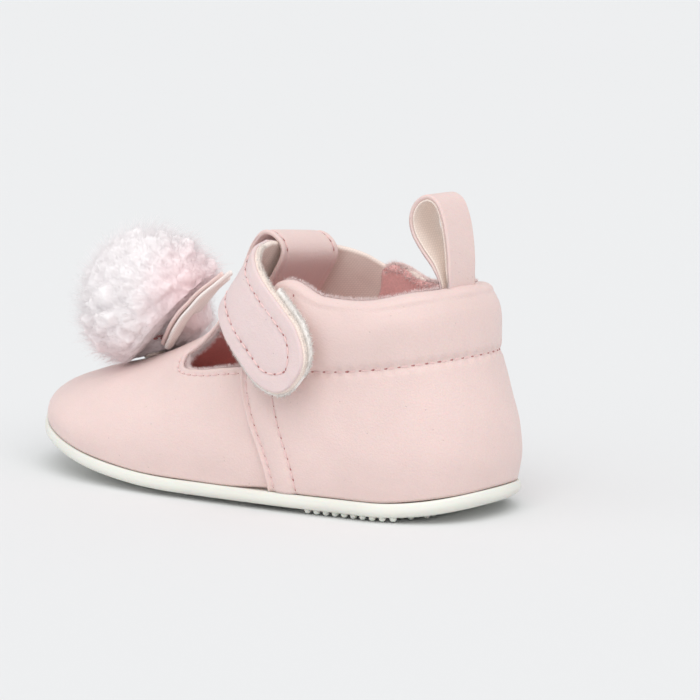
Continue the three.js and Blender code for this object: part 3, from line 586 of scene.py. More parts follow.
def plant(name, where, out, along, material, shape="bead", length=1.0, width=0.3, height=0.3,
          bend=0.0, variation=0.1, seed=1, size=None, around=8, rings=5):
    """Plants one small shape on every point and returns it as one plain mesh. Millimetres."""
    mesh = bpy.data.meshes.new(name)
    mesh.from_pydata((where * MM).tolist(), [], [])
    for label, values in (("out", out), ("along", along)):
        layer = mesh.attributes.new(label, "FLOAT_VECTOR", "POINT")
        spread = np.broadcast_to(values, where.shape).astype(np.float32)
        layer.data.foreach_set("vector", spread.ravel())
    sizes = np.ones(len(where)) if size is None else size
    layer = mesh.attributes.new("size", "FLOAT", "POINT")
    layer.data.foreach_set("value", sizes.astype(np.float32))
    piece = bpy.data.objects.new(name, mesh)
    bpy.context.scene.collection.objects.link(piece)
    tree, names = scatter_tree(shape, around, rings)
    modifier = piece.modifiers.new("plant", "NODES")
    modifier.node_group = tree
    values = {"Length": length * MM, "Width": width * MM, "Height": height * MM,
              "Bend": bend * MM, "Variation": variation, "Seed": seed, "Material": material}
    for label, value in values.items():
        modifier[names[label]] = value
    piece.update_tag()
    graph = bpy.context.evaluated_depsgraph_get()
    plain = bpy.data.meshes.new_from_object(piece.evaluated_get(graph))
    piece.modifiers.clear()
    piece.data = plain
    plain.name = name
    for attribute in [a.name for a in plain.attributes if a.name in ("out", "along", "size")]:
        plain.attributes.remove(plain.attributes[attribute])
    return piece


# %% Tread pads and their nubs
NUB_PITCH = 2.3
TREAD_INSET = 3.2
TREAD_DEPTH = 3.0


def sole_edges(x):
    """The feather line's half widths at x: the far edge's y and the near edge's y."""
    line, s = inset_line(0, 720)
    near, far = line[(s > 0) & (s < 9)], line[s > 9]
    return np.interp(x, far[::-1, 0], far[::-1, 1]), np.interp(x, near[:, 0], near[:, 1])


def tread(name, nodes, start, end, rim=0):
    """A pad with nubs on a square grid; rim is how many nubs follow each side's very edge."""
    x = np.linspace(start - 1.2, end + 1.2, 40)
    far, near = sole_edges(x)
    share = np.linspace(0, 1, 25)
    y = (near - TREAD_INSET)[:, None] * share + (far + TREAD_INSET)[:, None] * (1 - share)
    z = (feather_height(x) - TREAD_DEPTH)[:, None] + np.zeros_like(y)
    top = np.stack([np.broadcast_to(x[:, None], y.shape), y, z], axis=-1)
    plate = thick_sheet(name, top[:, ::-1], top[:, ::-1] - UP * 0.5)
    dress(plate, RUBBER, "shoe", nodes)
    spots = []
    for column in np.arange(start, end + 0.1, NUB_PITCH):
        low, high = sole_edges(column)
        middle = (low + high) / 2
        reach = (high - low) / 2 - TREAD_INSET - 0.9
        rows = np.arange(-int(reach / NUB_PITCH), int(reach / NUB_PITCH) + 1) * NUB_PITCH
        height = float(feather_height(column)) - TREAD_DEPTH - 0.5
        spots += [(column, middle + row, height) for row in rows]
    for k in range(rim):
        x = start + 4 + k * NUB_PITCH * 0.93
        low, high = sole_edges(x)
        height = float(feather_height(x)) - TREAD_DEPTH - 0.42
        spots += [(x, high - 1.5, height), (x, low + 1.5, height)]
    return spots


nub_spots = tread("tread_pad_heel", ["tread_heel"], -49, -22, rim=10)
nub_spots += tread("tread_pad_front", ["tread_forefoot"], -9.2, 41)
nubs = plant("tread_nubs", np.array(nub_spots), -UP, np.array([1.0, 0, 0]), RUBBER, "bead",
             1.5, 1.5, 1.35, variation=0.02, seed=3, around=10, rings=6)
dress(nubs, None, "shoe")

# %% [markdown]
# ## Stitching
# Seams are lockstitched. Each stitch is a short plump length of thread between two needle holes,
# and the leather is pulled down a little into a valley along the row. A row is a line of points
# on the leather with the way out at each, so the same rows serve to carve the valley, to lay the
# thread and to set a dark bead of painted shade in each needle hole.

# %% Rows of stitches
rows_of = {"shoe": [], "strap_tab": []}


def seam_row(points, out, pitch, body="shoe", hole=0.4):
    """Notes a row of stitches along a line on finished leather."""
    run = lengths(points)
    count = max(int(round(run[-1] / pitch)), 1)
    marks = (np.arange(count) + 0.5) * run[-1] / count

    def at(where, values):
        return np.stack([np.interp(where, run, values[:, k]) for k in range(3)], axis=1)

    direction = unit(at(marks + 0.3, points) - at(marks - 0.3, points))
    ends = np.arange(count + 1) * run[-1] / count
    rows_of[body].append({"where": at(marks, points), "out": unit(at(marks, out)),
                          "along": direction, "pitch": run[-1] / count,
                          "ends": at(ends, points), "ends_out": unit(at(ends, out)),
                          "ends_along": unit(at(ends + 0.3, points) - at(ends - 0.3, points)),
                          "hole": hole})


def valley(points, line, depth, width, pitch=0.0):
    """How far a row of stitches pulls the leather down, deepest at each needle hole."""
    distance, along = nearest(points, line)
    pull = depth * np.exp(-((distance / width) ** 2))
    if pitch:
        pull = pull + 0.35 * depth * np.exp(-((distance / (width * 1.3)) ** 2)) * np.cos(
            2 * math.pi * along / pitch)
    return pull

# %% [markdown]
# ## The quarter
# The quarter wraps the heel from one side of the cut-out to the other. Its front edge is turned
# in and held by two rows of stitches, with the strip between them a little swollen. Above the
# collar seam foam swells the leather, which then rolls over the top edge down to the lining.

# %% Quarter leather
COLLAR_PITCH = 2.9
EDGE_PITCH = 2.3
SWELL = 1.7


def wrapped(s):
    return np.mod(s, COUNT)


def edge_stations(s):
    """How many stations s lies behind the quarter's front edge."""
    w = wrapped(s)
    return np.minimum(np.abs(w - FRONT_NEAR), np.abs(FRONT_FAR - w))


def outset(s):
    """How far the collar's top stands outwards round the heel."""
    return 1.7 * smooth(edge_stations(s), 0.7, 2.7)


def pad(s, v, swell=SWELL):
    band = np.clip(np.asarray(v, float) - 1, 0, 1)
    foam = swell * smooth(edge_stations(s), 0.05, 0.7) * np.sin(math.pi * band) ** 0.8
    return foam * (1 - 0.2 * outset(s)) + outset(s) * smooth(band, 0.1, 0.8)


def collar_roll(s, degrees, radius):
    """The collar's rounded top: 0 degrees faces out, 90 is the crest, 180 faces the foot."""
    angle = np.radians(degrees)
    wide = outset(s) / 2
    across = wide - COLLAR_THICKNESS / 2 + (radius + wide) * np.cos(angle)
    return (surface(s, 2.0) + normal(s, 2.0) * across[..., None]
            + UP * (radius * np.sin(angle))[..., None])


def behind_edge(amount, side, v):
    """Station numbers of a line that runs amount millimetres behind the quarter's front edge."""
    edge = FRONT_NEAR if side > 0 else FRONT_FAR - COUNT
    reach = np.linalg.norm(surface(edge, v) - surface(edge - side * 0.1, v), axis=-1) / 0.1
    return edge - side * amount / reach


quarter_rows = {"collar": (np.linspace(-3.93, 3.93, 400), np.ones(400), COLLAR_PITCH, 0.55, 0.85)}
for side in (1, -1):
    v_line = np.linspace(0.03, 1.97, 160)
    for label, amount in (("first", 1.3), ("second", 6.9)):
        quarter_rows[f"{label}{side}"] = (behind_edge(amount, side, v_line), v_line, EDGE_PITCH,
                                          0.28, 0.6)


def quarter_relief(s, v):
    """Height of the quarter's face over the plain last: foam, swollen strip and stitch pull."""
    base = surface(s, v)
    fade = 1 - smooth(v, 1.9, 2.0)
    height = pad(s, v)
    edge = np.minimum(*[nearest(base, surface(behind_edge(0, side, v_line), v_line))[0]
                        for side in (1, -1)])
    strip = np.clip((edge - 1.3) / 5.6, 0, 1)
    height = height + 0.45 * np.sin(math.pi * strip) * fade + 0.3 * (1 - smooth(edge, 0.3, 1.1))
    for s_line, v_row, pitch, depth, width in quarter_rows.values():
        height = height - valley(base, surface(s_line, v_row), depth, width, pitch) * fade
    streaks = undulation(base * np.array([1, 1, 0.35]), 4.2, 5)
    wrinkle = undulation(base, 9, 4) * 0.10 + streaks * 0.05
    return height + wrinkle * fade * smooth(v, 0.0, 0.15), edge


s_quarter = stops(-4, 4, 230, 0.05, 0.05)
v_quarter = np.concatenate([stops(0.004, 1, 46), stops(1, 2, 26)[1:]])
roll_angles = np.array([12, 25, 38, 52, 66, 80, 92, 102, 108, 112.0])
S, V = np.meshgrid(s_quarter, v_quarter, indexing="ij")
relief, edge_gap = quarter_relief(S, V)
rounding = round_edge(edge_gap, LEATHER / 2)
S_roll, A_roll = np.meshgrid(s_quarter, roll_angles, indexing="ij")
roll_trim = np.concatenate([np.zeros(7), [0.05, 0.16, 0.4]])[None, :]
end_trim = round_edge(np.minimum(np.abs(S_roll + 4), np.abs(4 - S_roll)) * 14, LEATHER / 2)
half = COLLAR_THICKNESS / 2
ripple = undulation(collar_roll(S_roll, A_roll, half), 8, 6) * 0.12
outer = np.concatenate([skin(S, V, relief - rounding),
                        collar_roll(S_roll, A_roll, half - roll_trim - end_trim + ripple)], axis=1)
inner = np.concatenate([skin(S, V, relief - LEATHER + rounding),
                        collar_roll(S_roll, A_roll,
                                    half - LEATHER + roll_trim + end_trim + ripple)], axis=1)
quarter = thick_sheet("quarter_leather", outer, inner)
dress(quarter, PINK_LEATHER, "shoe", ["quarter_outer"])

for label, (s_line, v_row, pitch, depth, width) in quarter_rows.items():
    lift = quarter_relief(s_line[None, :], v_row[None, :])[0][0]
    collar = label == "collar"
    seam_row(skin(s_line, v_row, lift + (0.05 if collar else 0.08)), normal(s_line, v_row), pitch,
             hole=0.62 if collar else 0.46)

# %% [markdown]
# ## The vamp
# The vamp covers the toes and carries the T-bar, which climbs from the throat to the strap. Its
# wings pass under the quarter. The edge of the cut-out is a raw cut with one row of stitches
# just inside it.

# %% Vamp leather with its T-bar
VAMP_TUCK = 0.645


def vamp_depth(s):
    w = wrapped(s)
    ahead = np.minimum(w - FRONT_NEAR, FRONT_FAR - w)
    return (LEATHER + GAP) * (1 - smooth(ahead, 0.03, 0.6))


def throat_line(amount, near=True):
    """Stations and v of a line amount millimetres inside the cut-out's edge and up the T-bar."""
    s = np.linspace(3.5, BAR_NEAR, 90)
    reach = np.linalg.norm(surface(s, 1.0) - surface(s, 0.97), axis=-1) / 0.03
    v = 1 - amount / reach
    up = np.linspace(1.0, 2.0, 50)
    step = np.linalg.norm(surface(BAR_NEAR + 0.1, up) - surface(BAR_NEAR, up), axis=-1) / 0.1
    bar_s = BAR_NEAR + amount / step
    s, v = np.concatenate([s, bar_s]), np.concatenate([v, up])
    return (s, v) if near else (COUNT - s, v)


vamp_lines = [throat_line(1.35), throat_line(1.35, near=False)]
edge_lines = [throat_line(0), throat_line(0, near=False)]
THROAT_PITCH = 2.4


def vamp_relief(s, v):
    base = surface(s, v)
    fade = 1 - smooth(v, 1.93, 2.0)
    height = np.zeros(base.shape[:-1])
    for line in vamp_lines:
        height = height - valley(base, surface(*line), 0.26, 0.6, THROAT_PITCH) * fade
    edge = np.minimum(*[nearest(base, surface(*line))[0] for line in edge_lines])
    wrinkle = undulation(base, 12, 8) * 0.12 + undulation(base, 5, 9) * 0.04
    return height + wrinkle * smooth(v, 0.0, 0.15) * fade, edge


s_vamp = np.unique(np.concatenate([stops(4 - VAMP_TUCK, 7, 78, last=0.08),
                                   stops(7, 11, 110, 0.08, 0.08),
                                   stops(11, 14 + VAMP_TUCK, 78, 0.08)]))
v_vamp = np.unique(np.concatenate([stops(0.004, 1, 58, last=0.02), stops(1, 2, 24)]))
S, V = np.meshgrid(s_vamp, v_vamp, indexing="ij")
relief, edge_gap = vamp_relief(S, V)
rounding = round_edge(edge_gap, LEATHER / 2)
cells = (V[:-1, :-1] < 1 - 1e-6) | ((S[:-1, :-1] >= 7 - 1e-6) & (S[1:, :-1] <= 11 + 1e-6))
vamp = thick_sheet("vamp_leather", skin(S, V, relief - vamp_depth(S) - rounding),
                   skin(S, V, relief - vamp_depth(S) - LEATHER + rounding), cells)
dress(vamp, PINK_LEATHER, "shoe", ["vamp_outer"])
for s_line, climb_v in vamp_lines:
    shown = (wrapped(s_line) > 4.12) & (wrapped(s_line) < 13.88) & (climb_v < 1.97)
    s_line, climb_v = s_line[shown], climb_v[shown]
    lift = vamp_relief(s_line[None, :], climb_v[None, :])[0][0] - vamp_depth(s_line)
    seam_row(skin(s_line, climb_v, lift + 0.06), normal(s_line, climb_v), THROAT_PITCH)

# %% [markdown]
# ## Linings and stiffeners
# A brushed cotton lining faces the foot everywhere. Between it and the leather sit a toe puff,
# a heel counter and the collar's foam. They hardly show, but the shoe gets its shape from them.
# They are offsets of the same last at growing depths, so they stay clear of each other.

# %% Linings
def grid(columns, rows):
    return np.meshgrid(columns, rows, indexing="ij")


def vamp_lining_depth(s, v):
    w = wrapped(s)
    ahead = np.minimum(w - FRONT_NEAR, FRONT_FAR - w)
    room = smooth(ahead, 0.4, 1.2) * (1 - smooth(v, 0.7, 0.92))
    return vamp_depth(s) + LEATHER + GAP + 0.1 + room


S, V = grid(np.unique(np.concatenate([stops(4.04, 7, 50), stops(7, 11, 60), stops(11, 13.96, 50)])),
            np.unique(np.concatenate([stops(0.04, 1, 40), stops(1, 1.95, 18)])))
cells = (V[:-1, :-1] < 1 - 1e-6) | ((S[:-1, :-1] >= 7 - 1e-6) & (S[1:, :-1] <= 11 + 1e-6))
depth = vamp_lining_depth(S, V) + 0.06 * undulation(surface(S, V), 3, 12)
lining = thick_sheet("vamp_lining_cloth", skin(S, V, -depth), skin(S, V, -depth - LINING), cells)
dress(lining, LINING_PINK, "shoe", ["vamp_lining"])

S, V = grid(stops(-3.97, 3.97, 150), stops(0.04, 2, 50))
back = skin(S, V, -COLLAR_THICKNESS)
S_roll, A_roll = grid(stops(-3.97, 3.97, 150), np.array([172, 164, 155, 146, 137, 128.0]))
turn = collar_roll(S_roll, A_roll, half + 0.15 * undulation(
    collar_roll(S_roll, A_roll, half), 2.5, 14))
face = np.concatenate([skin(S, V, LINING - COLLAR_THICKNESS), collar_roll(S_roll, A_roll,
                       half - LINING + 0 * S_roll)], axis=1)
lining = thick_sheet("quarter_lining_cloth", face, np.concatenate([back, turn], axis=1))
dress(lining, LINING_PINK, "shoe", ["quarter_lining"])

# %% Toe puff, heel counter and foam
S, V = grid(stops(6.4, 11.6, 50), stops(0.05, 0.5, 16))
puff = thick_sheet("toe_puff_stiffener", skin(S, V, -1.2 + 0 * S), skin(S, V, -1.9 + 0 * S))
dress(puff, BOARD, "shoe", ["toe_puff"])
S, V = grid(stops(-2.2, 2.2, 50), stops(0.05, 0.95, 24))
counter = thick_sheet("heel_counter_stiffener", skin(S, V, -1.2 + 0 * S), skin(S, V, -2.1 + 0 * S))
dress(counter, BOARD, "shoe", ["heel_counter"])
S, V = grid(stops(-2.85, 3.5, 100), stops(1.04, 1.98, 20))
foam = thick_sheet("collar_foam_strip", skin(S, V, pad(S, V) * 0.85 - 1.25),
                   skin(S, V, -3.1 + 0 * S))
dress(foam, FOAM, "shoe", ["collar_foam"])

# %% [markdown]
# ## The strap and its keeper
# The strap starts under the far quarter, runs through the keeper at the top of the T-bar and
# ends in a round tab that closes with hook tape on the near side. It is three layers: leather,
# a cream woven backing and the tape. One leather piece runs the whole way here, and bends
# between the shoe and the tab when the tab is peeled open.

# %% Strap sections
STRAP_WIDTH = 14.2
TAB_WIDTH = 15.4
KEEPER_CENTRE = np.array([-5.2, 0, 48.0])
KEEPER_UP = unit([-0.54, 0, 0.84])
KEEPER_OUT = unit([0.84, 0, 0.54])
TAB_ACROSS = (-0.626, -0.103, 0.774)


def slit_section(s):
    """Where the strap's root lies inside the far quarter, its top edge near the collar's crest."""
    high = skin(s, 2.0, -1.4) + UP * 1.3
    across = unit(high - skin(s, 1.2, -1.4))
    return high - across * 6.2, across


def keeper_point(up, out, y):
    return KEEPER_CENTRE + KEEPER_UP * up + KEEPER_OUT * out + np.array([0, y, 0])


sections = [slit_section(FRONT_FAR + 0.95), slit_section(FRONT_FAR + 0.5),
            slit_section(FRONT_FAR + 0.08), ((-9.9, -16.6, 44.4), unit([-0.46, 0.1, 0.88])),
            (keeper_point(-2.1, 0.0, -11.6), KEEPER_UP), (keeper_point(-0.9, 0.5, 0), KEEPER_UP),
            (keeper_point(0.4, 1.3, 11.2), KEEPER_UP), (keeper_point(0.4, 1.3, 13.4), KEEPER_UP),
            ((-5.2, 18.6, 48.2), unit([-0.58, -0.03, 0.81])),
            ((-8.0, 22.9, 45.4), unit([-0.61, -0.07, 0.79])),
            ((-12.6, 25.6, 41.4), TAB_ACROSS), ((-17.5, 26.9, 37.5), TAB_ACROSS),
            ((-22.4, 28.1, 33.6), TAB_ACROSS), ((-28.2, 29.4, 29.0), TAB_ACROSS)]
STRAP_CENTRE = np.array([c for c, _ in sections], float)
STRAP_ACROSS = np.array([a for _, a in sections], float)
TAB_END = len(sections) - 1
TAB_ROUND = 1.35


def open_curve(points, u):
    """Points on the open Catmull-Rom curve through points."""
    last = len(points) - 1
    i = np.clip(np.floor(u).astype(int), 0, last - 1)
    w = (u - i)[..., None]
    a, b, c, d = (points[np.clip(i + k, 0, last)] for k in (-1, 0, 1, 2))
    return 0.5 * (2 * b + (c - a) * w + (2 * a - 5 * b + 4 * c - d) * w**2
                  + (3 * b - 3 * c + d - a) * w**3)


def strap_point(u, across, depth):
    """A point of the strap: across is millimetres from its middle line, towards its top edge."""
    u = np.asarray(u, float)
    centre = open_curve(STRAP_CENTRE, u)
    side = unit(open_curve(STRAP_ACROSS, u))
    along = unit(open_curve(STRAP_CENTRE, np.minimum(u + 0.05, TAB_END))
                 - open_curve(STRAP_CENTRE, np.maximum(u - 0.05, 0)))
    out = unit(np.cross(along, side))
    return centre + side * across[..., None] - out * depth[..., None], out


def strap_half(u, trim=0.0):
    """Half the strap's width at u, drawn to a round end."""
    width = (STRAP_WIDTH - 1.8 * (1 - smooth(u, 2.5, 5))
             + (TAB_WIDTH - STRAP_WIDTH) * smooth(u, 8, 11))
    tail = np.clip((TAB_END - u) / TAB_ROUND, 0, 1)
    return (width / 2 - trim) * np.sqrt(np.maximum(1 - (1 - tail) ** 2, 0.0))


def strap_columns(start, end, count):
    """Columns that crowd towards the round end."""
    bend = TAB_END - TAB_ROUND
    straight = np.linspace(start, min(end, bend), count)
    if end <= bend:
        return straight
    angle = np.radians(np.linspace(0, 88, 34))
    return np.concatenate([straight, bend + np.sin(angle[1:]) * (end - bend)])


strap_u = np.linspace(0.05, TAB_END, 400)
strap_rows = []
ROW_INSET = 3.1
for side in (1, -1):
    inset = 1.7 + (ROW_INSET - 1.7) * smooth(strap_u, 7.2, 9.0)
    turn = TAB_END - TAB_ROUND
    tail = np.clip((strap_u - turn) / (TAB_ROUND - 0.47), 0, 1)
    across = side * (strap_half(np.minimum(strap_u, turn)) - inset) * (1 - tail**2.6) ** 0.8
    shown = (strap_u > 3.05) & (strap_u < TAB_END - 0.47)
    strap_rows.append((strap_u[shown], across[shown]))
STRAP_PITCH = 2.5


def strap_sheet(name, columns, depth, thickness, trim, rounding, relief=0.0, rows=()):
    """A layer of the strap with soft edges, its face at the given depth."""
    shares = np.sin(np.radians(np.linspace(90, -90, 33)))
    U, share = np.meshgrid(columns, shares, indexing="ij")
    across = share * strap_half(U, trim)
    face, out = strap_point(U, across, np.full(U.shape, depth))
    run = lengths(face[:, 16])
    end_gap = np.minimum(run - run[0], run[-1] - run + 0.02)[:, None] if rounding[1] else 99
    gap = np.minimum((1 - np.abs(share)) * strap_half(U, trim) * 1.0, end_gap)
    drop = round_edge(gap, thickness / 2) if rounding[0] else 0 * U
    height = relief * (undulation(face, 7, 21) + 0.5 * undulation(face, 3, 22))
    for u_line, a_line in rows:
        line, _ = strap_point(u_line, a_line, np.zeros(len(u_line)))
        height = height - valley(face, line, 0.22, 0.6, STRAP_PITCH)
    return thick_sheet(name, face + out * (height - drop)[..., None],
                       face - out * (thickness - drop - height)[..., None])


def strap_place(u):
    return [float(c) * MM for c in open_curve(STRAP_CENTRE, np.array([u]))[0]]


def bend_with_tab(piece, material, nodes):
    """The piece follows the shoe up to the keeper's near end and the loose tab beyond it."""
    piece.data.materials.append(material)
    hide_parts(*nodes)
    start, end = strap_place(6.62), strap_place(7.35)
    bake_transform(piece, "shoe", "strap_tab", start, end)
    print(f"{piece.name}: {len(piece.data.polygons)} faces, bends at the keeper")


# %% Strap leather, backing and tapes
strap = strap_sheet("strap_leather", strap_columns(0.0, TAB_END - 0.004, 260), 0.0, 0.9, 0.0,
                    (True, True), 0.07, strap_rows)
bend_with_tab(strap, STRAP_LEATHER, ["strap_outer", "tab_outer"])
backing = strap_sheet("strap_backing_cloth", strap_columns(0.0, TAB_END - 0.004, 200), 0.8, 1.3,
                      -0.45, (True, True), 0.05)
bend_with_tab(backing, CREAM, ["strap_backing", "tab_backing"])
hook = strap_sheet("hook_tape_cloth", strap_columns(10.25, TAB_END - 0.01, 90), 2.05, 0.9, -1.35,
                   (True, True), 0.08)
dress(hook, TAPE_WHITE, "strap_tab", ["hook_tape"])
loop = strap_sheet("loop_tape_cloth", strap_columns(10.2, 12.1, 50), 3.0, 0.8, 2.2,
                   (True, False), 0.06)
dress(loop, TAPE_WHITE, "shoe", ["loop_tape"])
for u_line, a_line in strap_rows:
    for body, part in (("shoe", u_line < 6.5), ("strap_tab", u_line > 7.4)):
        if body == "shoe":
            part = part & (u_line < 4.0)
        where, out = strap_point(u_line[part], a_line[part], np.full(part.sum(), 0.08))
        seam_row(where, out, STRAP_PITCH, body, hole=0.46)

# %% [markdown]
# The keeper is the T-bar's own end, folded back round the strap and sewn down: a flat leather
# tube with open ends, whose cut edges show their thickness. It is swept from one outline, like the
# heel loop after it, so one tool makes both.

# %% Keeper
KEEPER_OUTLINE = np.array([[-8.9, 0.3], [-8.1, -1.9], [-4, -2.5], [1, -2.6], [5.6, -2.5],
                           [7.6, -1.3], [8.1, 1.2], [7.0, 3.4], [3.8, 4.2], [0, 3.8], [-4, 3.1],
                           [-8.0, 2.2]])
KEEPER_HALF = 11.2


def tube(name, line, depths, place, half_width, count, across, relief):
    """A closed loop of leather between two depths; line(t, depth) is its outline in a plane."""
    t = np.arange(count) / count
    face_line, back_line = (line(t, depth) for depth in depths)
    out = unit(face_line - back_line)
    shares = np.sin(np.radians(np.linspace(-90, 90, across)))
    gap = (1 - np.abs(shares)) * half_width
    drop = round_edge(gap, abs(depths[1] - depths[0]) / 2)[None, :, None]
    spread = np.broadcast_to((shares * half_width)[None, :], (count, across))
    height = relief(t[:, None], spread)[..., None]
    face = place(face_line[:, None] + out[:, None] * (height - drop), spread)
    back = place(back_line[:, None] + out[:, None] * (height * 0.6 + drop), spread)
    return thick_sheet(name, face, back, wrap=True)


def outline_at(outline, t, depth):
    """The closed outline moved to the given depth inside it; t runs 0 to 1."""
    turn = np.asarray(t) * len(outline)
    tangent = unit(ring(outline, turn + 0.05) - ring(outline, turn - 0.05))
    inward = np.stack([-tangent[:, 1], tangent[:, 0]], axis=1)
    return ring(outline, turn) + inward * np.asarray(depth)[..., None]


def keeper_place(plane, y):
    """From the keeper's own plane to the shoe; its far end sits lower and is drawn in."""
    far = np.clip((KEEPER_HALF - y) / (2 * KEEPER_HALF), 0, 1)[..., None]
    up = plane[..., 0:1] * (1 - 0.07 * far) - 1.9 * far
    return (KEEPER_CENTRE + KEEPER_UP * up + KEEPER_OUT * plane[..., 1:2]
            + np.array([0, 1.0, 0]) * (y[..., None] + 1.6 * far))


def keeper_relief(t, y):
    """Soft creases along the fold and a valley along each row of stitches."""
    crease = 0.12 * np.sin(t * 25 + 0.5) * np.cos(y / KEEPER_HALF * 1.3)
    rows = -0.24 * np.exp(-(((np.abs(y) - (KEEPER_HALF - 1.8)) / 0.55) ** 2))
    return crease + rows


keeper = tube("keeper_leather", lambda t, depth: outline_at(KEEPER_OUTLINE, t, depth), (-1.0, 0.0),
              keeper_place, KEEPER_HALF, 180, 61, keeper_relief)
dress(keeper, PINK_LEATHER, "shoe", ["strap_keeper"])
t = np.linspace(4.6, 11.4, 120) / len(KEEPER_OUTLINE)
row = outline_at(KEEPER_OUTLINE, t, -0.86)
row_out = unit(row - outline_at(KEEPER_OUTLINE, t, 0))
for side in (1, -1):
    y = np.full(len(t), side * (KEEPER_HALF - 1.8))
    seam_row(keeper_place(row, y), KEEPER_UP * row_out[:, :1] + KEEPER_OUT * row_out[:, 1:], 2.3,
             hole=0.5)

# %% [markdown]
# ## The heel loop
# A short leather loop, backed with cream cloth, is sewn into the collar at the back. It stands
# up, leans back a little and gives when pulled. A bevelled curve would do for a round cord, but a
# flat strip keeps its two thin edges if we sweep its outline across the strip's width.

# %% Pull loop
LOOP_FOOT = np.array([-48.7, 0, 47.2])
LOOP_OUTLINE = np.array([[0.9, -3.2], [1.7, 0.2], [3.7, 3.6], [6.7, 7.0], [9.0, 10.4], [9.6, 13.8],
                         [8.2, 17.0], [5.2, 18.7], [2.3, 17.6], [0.5, 14.0], [-0.5, 9.2],
                         [-0.9, 4.6], [-0.8, 0.2], [-0.5, -3.2]])
LOOP_HALF = 4.7


def loop_place(plane, y):
    return (LOOP_FOOT + np.array([1.0, 0, 0]) * plane[..., 0:1] + UP * plane[..., 1:2]
            + np.array([0, 1.0, 0]) * y[..., None])


def loop_line(t, depth):
    """The loop's outline moved inwards; the legs share their room where they meet."""
    height = ring(LOOP_OUTLINE, np.asarray(t) * len(LOOP_OUTLINE))[:, 1]
    return outline_at(LOOP_OUTLINE, t, depth * (0.25 + 0.75 * smooth(height, -3, 5)))


def loop_relief(t, y):
    return 0.05 * np.sin(t * 14 + y * 0.25)


def stand_up(piece, material, node_name):
    """The loop's root stays in the collar and the rest leans with the joint."""
    piece.data.materials.append(material)
    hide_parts(node_name)
    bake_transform(piece, "shoe", "pull_loop", (-0.0484, 0, 0.0468), (-0.0484, 0, 0.0515))
    print(f"{piece.name}: {len(piece.data.polygons)} faces, leans from its root")


pull = tube("pull_loop_leather", loop_line, (0.0, 0.9), loop_place, LOOP_HALF, 220, 41, loop_relief)
stand_up(pull, PINK_LEATHER, "pull_loop_outer")
pull_back = tube("pull_loop_cloth", loop_line, (0.93, 1.35), loop_place, LOOP_HALF - 0.12, 180, 31,
                 loop_relief)
stand_up(pull_back, CREAM, "pull_loop_backing")

# %% [markdown]
# ## The pompom and the ears
# The pompom is a ball of soft fur tied down on the toe. It could be all strands, but dense fur
# traps so much light that a white ball turns grey. So a padded core carries the heaped, cottony
# shape and the brightness, and two thin layers of fine strands lean with its clumps and soften
# the outline. Where the ball rests on the vamp, or meets the ears, everything is pressed flat.

# %% Fur
POMPOM_CENTRE = np.array([34.9, 0, 37.2])
EAR_BASE = np.array([27.2, 0, 29.2])
EAR_SLOPE = unit([-0.72, 0, 0.69])
EAR_OUT = unit([0.69, 0, 0.72])
EAR_ROLL = math.radians(19)
TIE_X = 34.5
ROCKING_ROOM = 0.09
crest_v = np.linspace(0, 2, 400)
crest = surface(9.0, crest_v)


def crest_height(x):
    order = np.argsort(crest[:, 0])
    return np.interp(x, crest[order, 0], crest[order, 2])


S, V = np.meshgrid(np.linspace(5, 13, 160), np.linspace(0.05, 1, 60), indexing="ij")
rest_on = skin(S, V, -vamp_depth(S)).reshape(-1, 3)
S, V = np.meshgrid(np.linspace(7, 11, 60), np.linspace(1, 1.8, 30), indexing="ij")
rest_on = np.concatenate([rest_on, surface(S, V).reshape(-1, 3)])
rest_tree = KDTree(len(rest_on))
for index, point in enumerate(rest_on):
    rest_tree.insert((point[0], point[1], 0), index)
rest_tree.balance()


def press(points, clear, room=0.0):
    """Rests points on the vamp and squeezes them up to the ear's plane, but for a low skirt."""
    points = points.copy()
    low = points[:, 2] < 36
    floor = np.array([rest_on[rest_tree.find((x, y, 0))[1], 2] for x, y, _ in points[low]])
    floor += clear + ROCKING_ROOM * np.hypot(points[low, 0] - TIE_X, points[low, 1])
    points[low, 2] = np.maximum(points[low, 2], floor)
    away = -(EAR_OUT * math.cos(EAR_ROLL) + np.array([0, 1.0, 0]) * math.sin(EAR_ROLL))
    behind = EAR_BASE + EAR_OUT * 1.1 + np.array([1.3, 5.4, -0.4])
    skirt = 6.5 * (1 - smooth(points[:, 2], 31, 37)) * (1 - smooth(points[:, 1], -1, 4))
    past = np.maximum((points - behind) @ away - skirt + room, 0)
    share = 0.92 - 0.2 * (1 - smooth(points[:, 1], -8, -1))
    return points - (share * past)[:, None] * away


def ball_directions(count, random):
    i = np.arange(count) + 0.5
    height = 1 - 2 * i / count
    turn = i * math.pi * (3 - math.sqrt(5))
    flat = np.sqrt(1 - height**2)
    return unit(np.stack([np.cos(turn) * flat, np.sin(turn) * flat, height], axis=1)
                + random.normal(size=(count, 3)) * 0.05)


def clump_shape(way, seed=77):
    """How far the fluff stands out in each direction: soft heaped clumps, 0 to about 1."""
    random = np.random.default_rng(seed)
    centres = unit(random.normal(size=(150, 3)))
    tree = KDTree(len(centres))
    for index, centre in enumerate(centres):
        tree.insert(centre, index)
    tree.balance()
    near = [tree.find_n(w, 2) for w in way]
    gap = np.array([f[1][2] - f[0][2] for f in near])
    own = np.array([f[0][1] for f in near])
    heap = random.uniform(0.2, 1.0, len(centres))[own]
    return heap * smooth(gap, 0.0, 0.16), centres[own]


